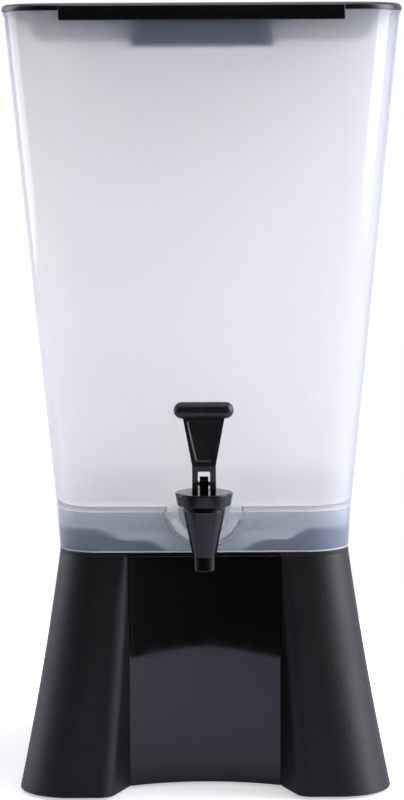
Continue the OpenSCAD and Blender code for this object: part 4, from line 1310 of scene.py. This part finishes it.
class DISPENSER_OT_valve(bpy.types.Operator):
    """Models the valve stem, its silicone seat cup, its spring and the spring's washer"""

    bl_idname = "dispenser.valve"
    bl_label = "Valve"

    def execute(self, context):
        sizes = context.scene.dispenser_tap
        self.stem(sizes)
        self.seat_cup(sizes)
        low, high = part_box("spring_washer")
        hole = sizes.stem / 2.0 + sizes.stem_clearance
        bm = turned(band(hole, (high.x - low.x) / 2.0, low.z, high.z, HAIR), ON_SPOUT, 56)
        finish_piece("spring_seat", bm, "valve", "steel", drawn_steel, "spring_washer")
        low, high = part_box("stem_spring")
        half = sizes.wire / 2.0
        turns = 5.0
        bm = bmesh.new()
        coil(bm, sizes.wire, (high.x - low.x - sizes.wire) / 2.0, low.z + half, high.z - half, turns, ON_SPOUT,
             12, 40)
        spring = finish_piece("return_spring", bm, "vessel", "steel", drawn_steel, "stem_spring")
        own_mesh(spring)
        return {"FINISHED"}

    def stem(self, sizes):
        """Stem with its button below and its flat head on the lever pin."""
        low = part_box("valve_stem")[0].z
        radius, button = sizes.stem / 2.0, sizes.button / 2.0
        neck = low + sizes.button_thickness
        top = PIN.z - sizes.head / 2.0
        bm = turned([(0.0, low, 0.0), (button, low, SOFT), (button, neck, SOFT), (radius, neck, SMALL),
                     (radius, top, 0.0), (0.0, top, 0.0)], ON_SPOUT, 48)
        head = cylinder(sizes.head, sizes.head_thickness, AT_PIN @ TO_SIDE, 64)
        soften_sharp(head, PLAIN)
        hole = cylinder(span("lever_pin").z / 2.0 + TOUCH, 4.0 * BEYOND, AT_PIN @ TO_SIDE)
        join(bm, combine(head, hole, "DIFFERENCE"))
        finish_piece("plunger", bm, "valve", "gloss_black", tap_black, "valve_stem")

    def seat_cup(self, sizes):
        """Silicone cup: a nose that rises with the stem, and a bellows above it."""
        low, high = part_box("seat_cup")
        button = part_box("valve_stem")[0].z
        lip_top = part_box("spring_washer")[0].z
        lip = button + sizes.button_thickness + SLIP
        shoulder = high.z - sizes.cup_flange
        outer, inner = sizes.cup_radius, sizes.cup_radius - sizes.cup_wall
        pocket, hole, flange = sizes.button / 2.0 + SLIP, sizes.stem / 2.0 + SLIP, (high.x - low.x) / 2.0
        nose_top = lip_top - TOUCH
        bm = turned([(0.0, low.z, 0.0), (sizes.cup_nose, low.z, SOFT), (sizes.cup_nose, button, SOFT),
                     (outer, nose_top, HAIR), (hole, nose_top, FINE), (hole, lip, FINE), (pocket, lip, 0.0),
                     (pocket, button, 0.0), (0.0, button, 0.0)], ON_SPOUT, 64)
        finish_piece("silicone_nose", bm, "valve", "silicone", food_silicone, "seat_cup")
        bm = turned([(inner, lip_top, FINE), (outer, lip_top, HAIR), (outer, shoulder, SMALL),
                     (flange, shoulder, FINE), (flange, high.z, FINE), (inner, high.z, FINE)], ON_SPOUT, 64)
        bellows = finish_piece("silicone_bellows", bm, "vessel", "silicone", food_silicone, "seat_cup")
        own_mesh(bellows)


class DISPENSER_OT_lever(bpy.types.Operator):
    """Models the pull lever with its cross bar, recessed neck and cam, and its pin"""

    bl_idname = "dispenser.lever"
    bl_label = "Lever"

    def execute(self, context):
        sizes = context.scene.dispenser_tap
        radius = sizes.bar_diameter / 2.0
        bar = LEVER_HIGH.z - PIN.z - radius
        bm = combine(prism(self.front_corners(sizes, bar), -BLOCK, BLOCK, AT_PIN @ UPRIGHT, 5),
                     prism(self.side_corners(sizes, bar), -BLOCK, BLOCK, AT_PIN @ SIDEWAYS, 5), "INTERSECT")
        half = sizes.slot / 2.0
        slot = four_corners(half, half, -BLOCK, sizes.slot_rise, 0.0, FULL)
        bm = combine(bm, prism(slot, -BLOCK, BLOCK, AT_PIN @ UPRIGHT, 4), "DIFFERENCE")
        bm = combine(bm, self.recess(sizes, bar), "DIFFERENCE")
        place = Matrix.Translation((0.0, PIN.y, PIN.z + bar)) @ TO_SIDE
        handle = cylinder(radius, LEVER_HIGH.x - LEVER_LOW.x, place, 64)
        end_round = 0.97 * radius
        soften_sharp(handle, end_round, segments=10)
        bm = combine(bm, handle, "UNION")
        pin_radius = span("lever_pin").z / 2.0
        bm = combine(bm, cylinder(pin_radius + TOUCH, 2.0 * BLOCK, AT_PIN @ TO_SIDE), "DIFFERENCE")
        soften_sharp(bm, SMALL, 35.0, 2)
        finish_piece("pull_lever", bm, "lever", "gloss_black", lever_black, "tap_lever")
        rod = cylinder(pin_radius, span("lever_pin").x, AT_PIN @ TO_SIDE)
        soften_sharp(rod, SMALL)
        finish_piece("pivot_pin", rod, "valve", "steel", drawn_steel, "lever_pin")
        return {"FINISHED"}

    def front_corners(self, sizes, bar):
        """Outline seen from the front, from below the cam up to the cross bar."""
        below_cam = 0.002
        foot = LEVER_LOW.z - PIN.z - below_cam
        shoulder = bar - sizes.bar_diameter / 2.0
        clevis, top = sizes.clevis / 2.0, sizes.lever_top / 2.0
        foot_bend, shoulder_bend = 0.004, 0.003
        return [(-clevis, foot, 0.0), (clevis, foot, 0.0), (clevis, sizes.foot_rise, foot_bend),
                (top, shoulder, shoulder_bend), (top, bar, 0.0), (-top, bar, 0.0), (-top, shoulder, shoulder_bend),
                (-clevis, sizes.foot_rise, foot_bend)]

    def side_corners(self, sizes, bar):
        """Outline seen from the right, with the cam that rides on the bonnet as the lever is pulled."""
        rate = STEM_LIFT / LEVER_SWING
        rest = PIN.z - LEVER_LOW.z
        cam = []
        steps = 8
        for i in range(steps, -1, -1):
            turn = LEVER_SWING * i / steps
            reach = rest + rate * turn
            cam.append((-reach * math.sin(turn) - rate * math.cos(turn),
                        -reach * math.cos(turn) + rate * math.sin(turn), 0.0))
        back, half = 0.005, sizes.lever_thickness / 2.0
        heel_bend, back_bend, neck_bend, nose_bend = 0.001, 0.002, 0.004, 0.0015
        nose_y, nose_z, _ = cam[0]
        return [(back, -rest, heel_bend), (back, sizes.head, back_bend), (half, sizes.foot_rise, neck_bend),
                (half, bar, 0.0), (-half, bar, 0.0), (-half, sizes.foot_rise, neck_bend),
                (nose_y, nose_z + sizes.head, nose_bend)] + cam

    def recess(self, sizes, bar):
        """Tapered block that sinks the recess into the front of the neck."""
        low = sizes.foot_rise + sizes.border
        high = bar - sizes.bar_diameter / 2.0 - sizes.border / 2.0
        foot, top = sizes.clevis / 2.0 - sizes.border, sizes.lever_top / 2.0 - sizes.border
        bend = 2.0 * SOFT
        bm = bmesh.new()
        loops = []
        for grow in (-0.5 * sizes.recess, 1.5 * sizes.recess):
            corners = four_corners(foot + grow, top + grow, low - grow, high + grow, bend, bend)
            out = sizes.lever_thickness / 2.0 - 0.5 * sizes.recess + grow
            loops.append(outline(bm, corners, 4, AT_PIN @ UPRIGHT @ Matrix.Translation((0.0, 0.0, out))))
        skin(bm, loops, way=UPRIGHT.to_3x3() @ UP)
        return bm


class DISPENSER_OT_stage(bpy.types.Operator):
    """Sets up the floor, the camera, the lamps and the surroundings"""

    bl_idname = "dispenser.stage"
    bl_label = "Stage"

    def execute(self, context):
        stage = context.scene.dispenser_stage
        context.scene.view_settings.view_transform = "Standard"
        self.floor(stage)
        self.camera(context, stage)
        self.surroundings(context, stage)
        for name, setting, (x, y, z), size, mirrored in LAMPS:
            self.lamp(name, Vector((x, MID_Y + y, z)), size, getattr(stage, setting), mirrored)
        return {"FINISHED"}

    def floor(self, stage):
        """Pale oval floor that keeps the dispenser's shadow, with a wing to each side."""
        bm = bmesh.new()
        ovals = ((stage.floor_side, stage.floor_front, 0.0), (stage.wing_side, stage.wing_front, -CLOSE))
        for side, front, z in ovals:
            place = Matrix.Translation((0.0, MID_Y, z)) @ Matrix.Diagonal((side, front, 1.0, 1.0))
            bmesh.ops.create_circle(bm, cap_ends=True, segments=96, radius=1.0, matrix=place)
        floor = placed("floor", bm)
        material, tree, surface = blank_finish("pale_floor")
        speck = noise(tree, 40.0, 4.0)
        rays = add(tree, "LightPath").outputs
        tint = tinted(tree, speck, stage.floor, 0.99, 1.01)
        mirrored = add(tree, "Mix", {"Factor": rays["Is Glossy Ray"], "A": tint, "B": (*stage.cool, 1.0)},
                       data_type="RGBA", blend_type="MULTIPLY")
        gloss = between(tree, rays["Is Glossy Ray"], 0.0, stage.floor_gloss)
        feed(tree, surface, {
            "Base Color": mirrored.outputs["Result"],
            "Roughness": spread(tree, speck, 0.85, 0.95),
            "Specular IOR Level": 0.1,
            "Emission Color": blend_colours(tree, rays["Is Glossy Ray"], WHITE, stage.cool),
            "Emission Strength": mix_values(tree, rays["Is Camera Ray"], gloss, stage.floor_glow),
        })
        floor.data.materials.append(material)

    def camera(self, context, stage):
        """Camera at the photograph's viewing angle."""
        data = bpy.data.cameras.new("camera")
        data.lens = stage.lens
        data.sensor_width = stage.sensor
        data.clip_end = 50.0
        camera = bpy.data.objects.new("camera", data)
        context.scene.collection.objects.link(camera)
        camera.location = (stage.aside, MID_Y - stage.distance, stage.height)
        turn = Matrix.Rotation(QUARTER - stage.pitch, 3, "X") @ Matrix.Rotation(stage.roll, 3, "Z")
        camera.rotation_euler = turn.to_euler()
        context.scene.camera = camera

    def surroundings(self, context, stage):
        """White studio that is dark behind the camera."""
        world = bpy.data.worlds.new("studio")
        context.scene.world = world
        world.use_nodes = True
        tree = world.node_tree
        tree.nodes.clear()
        rays = add(tree, "LightPath").outputs
        way = add(tree, "TexCoord").outputs["Generated"]
        toward_bright = (0.18, 0.22, 0.0)
        dim, full, dark = 0.22, 1.35, 0.09
        level = add(tree, "VectorMath", {0: way, 1: toward_bright}, operation="DOT_PRODUCT").outputs["Value"]
        ahead = add(tree, "SeparateXYZ", {"Vector": way}).outputs["Y"]
        bright = fold(tree, "MULTIPLY", spread(tree, level, dim, full, -0.3, 0.3),
                      spread(tree, ahead, dark, 1.0, -0.72, -0.3))
        shown = fold(tree, "MAXIMUM", rays["Is Glossy Ray"], rays["Is Transmission Ray"])
        soft = add(tree, "Background", {
            "Color": blend_colours(tree, bright, BLACK, stage.cool),
            "Strength": between(tree, shown, stage.ambient, stage.backdrop),
        })
        white = add(tree, "Background", {"Color": (*WHITE, 1.0), "Strength": 1.0})
        seen = fold(tree, "MAXIMUM", rays["Is Camera Ray"], rays["Is Transmission Ray"])
        studio = mix_shaders(tree, seen, soft.outputs["Background"], white.outputs["Background"])
        add(tree, "OutputWorld", {"Surface": studio})

    def lamp(self, name, at, size, watts, mirrored):
        """Large soft lamp aimed at the dispenser, which gloss mirrors or not."""
        data = bpy.data.lights.new(name, "AREA")
        data.shape = "RECTANGLE"
        data.size, data.size_y = size
        data.energy = watts
        data.color = LAMP_TINT
        lamp = bpy.data.objects.new(name, data)
        bpy.context.scene.collection.objects.link(lamp)
        lamp.location = at
        lamp.rotation_euler = (LAMP_TARGET - at).to_track_quat("-Z", "Y").to_euler()
        lamp.visible_glossy = mirrored


OPERATORS = (
    DISPENSER_OT_stand, DISPENSER_OT_fascia, DISPENSER_OT_feet, DISPENSER_OT_container, DISPENSER_OT_lid,
    DISPENSER_OT_tap_body, DISPENSER_OT_tap_bonnet, DISPENSER_OT_tap_fixings, DISPENSER_OT_valve,
    DISPENSER_OT_lever, DISPENSER_OT_stage,
)
GROUPS = {
    "dispenser_stand": StandSizes, "dispenser_vessel": VesselSizes, "dispenser_lid": LidSizes,
    "dispenser_tap": TapSizes, "dispenser_finishes": Finishes, "dispenser_stage": StageSettings,
}


class DISPENSER_PT_panel(bpy.types.Panel):
    """Lists the dispenser's pieces"""

    bl_idname = "DISPENSER_PT_panel"
    bl_label = "Juice Dispenser"
    bl_space_type = "VIEW_3D"
    bl_region_type = "UI"
    bl_category = "Dispenser"

    def draw(self, context):
        for operator in OPERATORS:
            self.layout.operator(operator.bl_idname)
        for name, group in GROUPS.items():
            box = self.layout.box()
            for field in group.__annotations__:
                box.prop(getattr(context.scene, name), field)


def register():
    """Registers the classes and their settings."""
    for group in GROUPS.values():
        bpy.utils.register_class(group)
    for name, group in GROUPS.items():
        setattr(bpy.types.Scene, name, PointerProperty(type=group))
    for item in (*OPERATORS, DISPENSER_PT_panel):
        bpy.utils.register_class(item)


def unregister():
    """Removes the classes and their settings."""
    for item in reversed((*OPERATORS, DISPENSER_PT_panel)):
        bpy.utils.unregister_class(item)
    for name, group in reversed(GROUPS.items()):
        delattr(bpy.types.Scene, name)
        bpy.utils.unregister_class(group)


def main():
    """Models the dispenser piece by piece."""
    register()
    bpy.ops.dispenser.stand()
    bpy.ops.dispenser.fascia()
    bpy.ops.dispenser.feet()
    bpy.ops.dispenser.container()
    bpy.ops.dispenser.lid()
    bpy.ops.dispenser.tap_body()
    bpy.ops.dispenser.tap_bonnet()
    bpy.ops.dispenser.tap_fixings()
    bpy.ops.dispenser.valve()
    bpy.ops.dispenser.lever()
    bpy.ops.dispenser.stage()


if __name__ == "__main__":
    main()
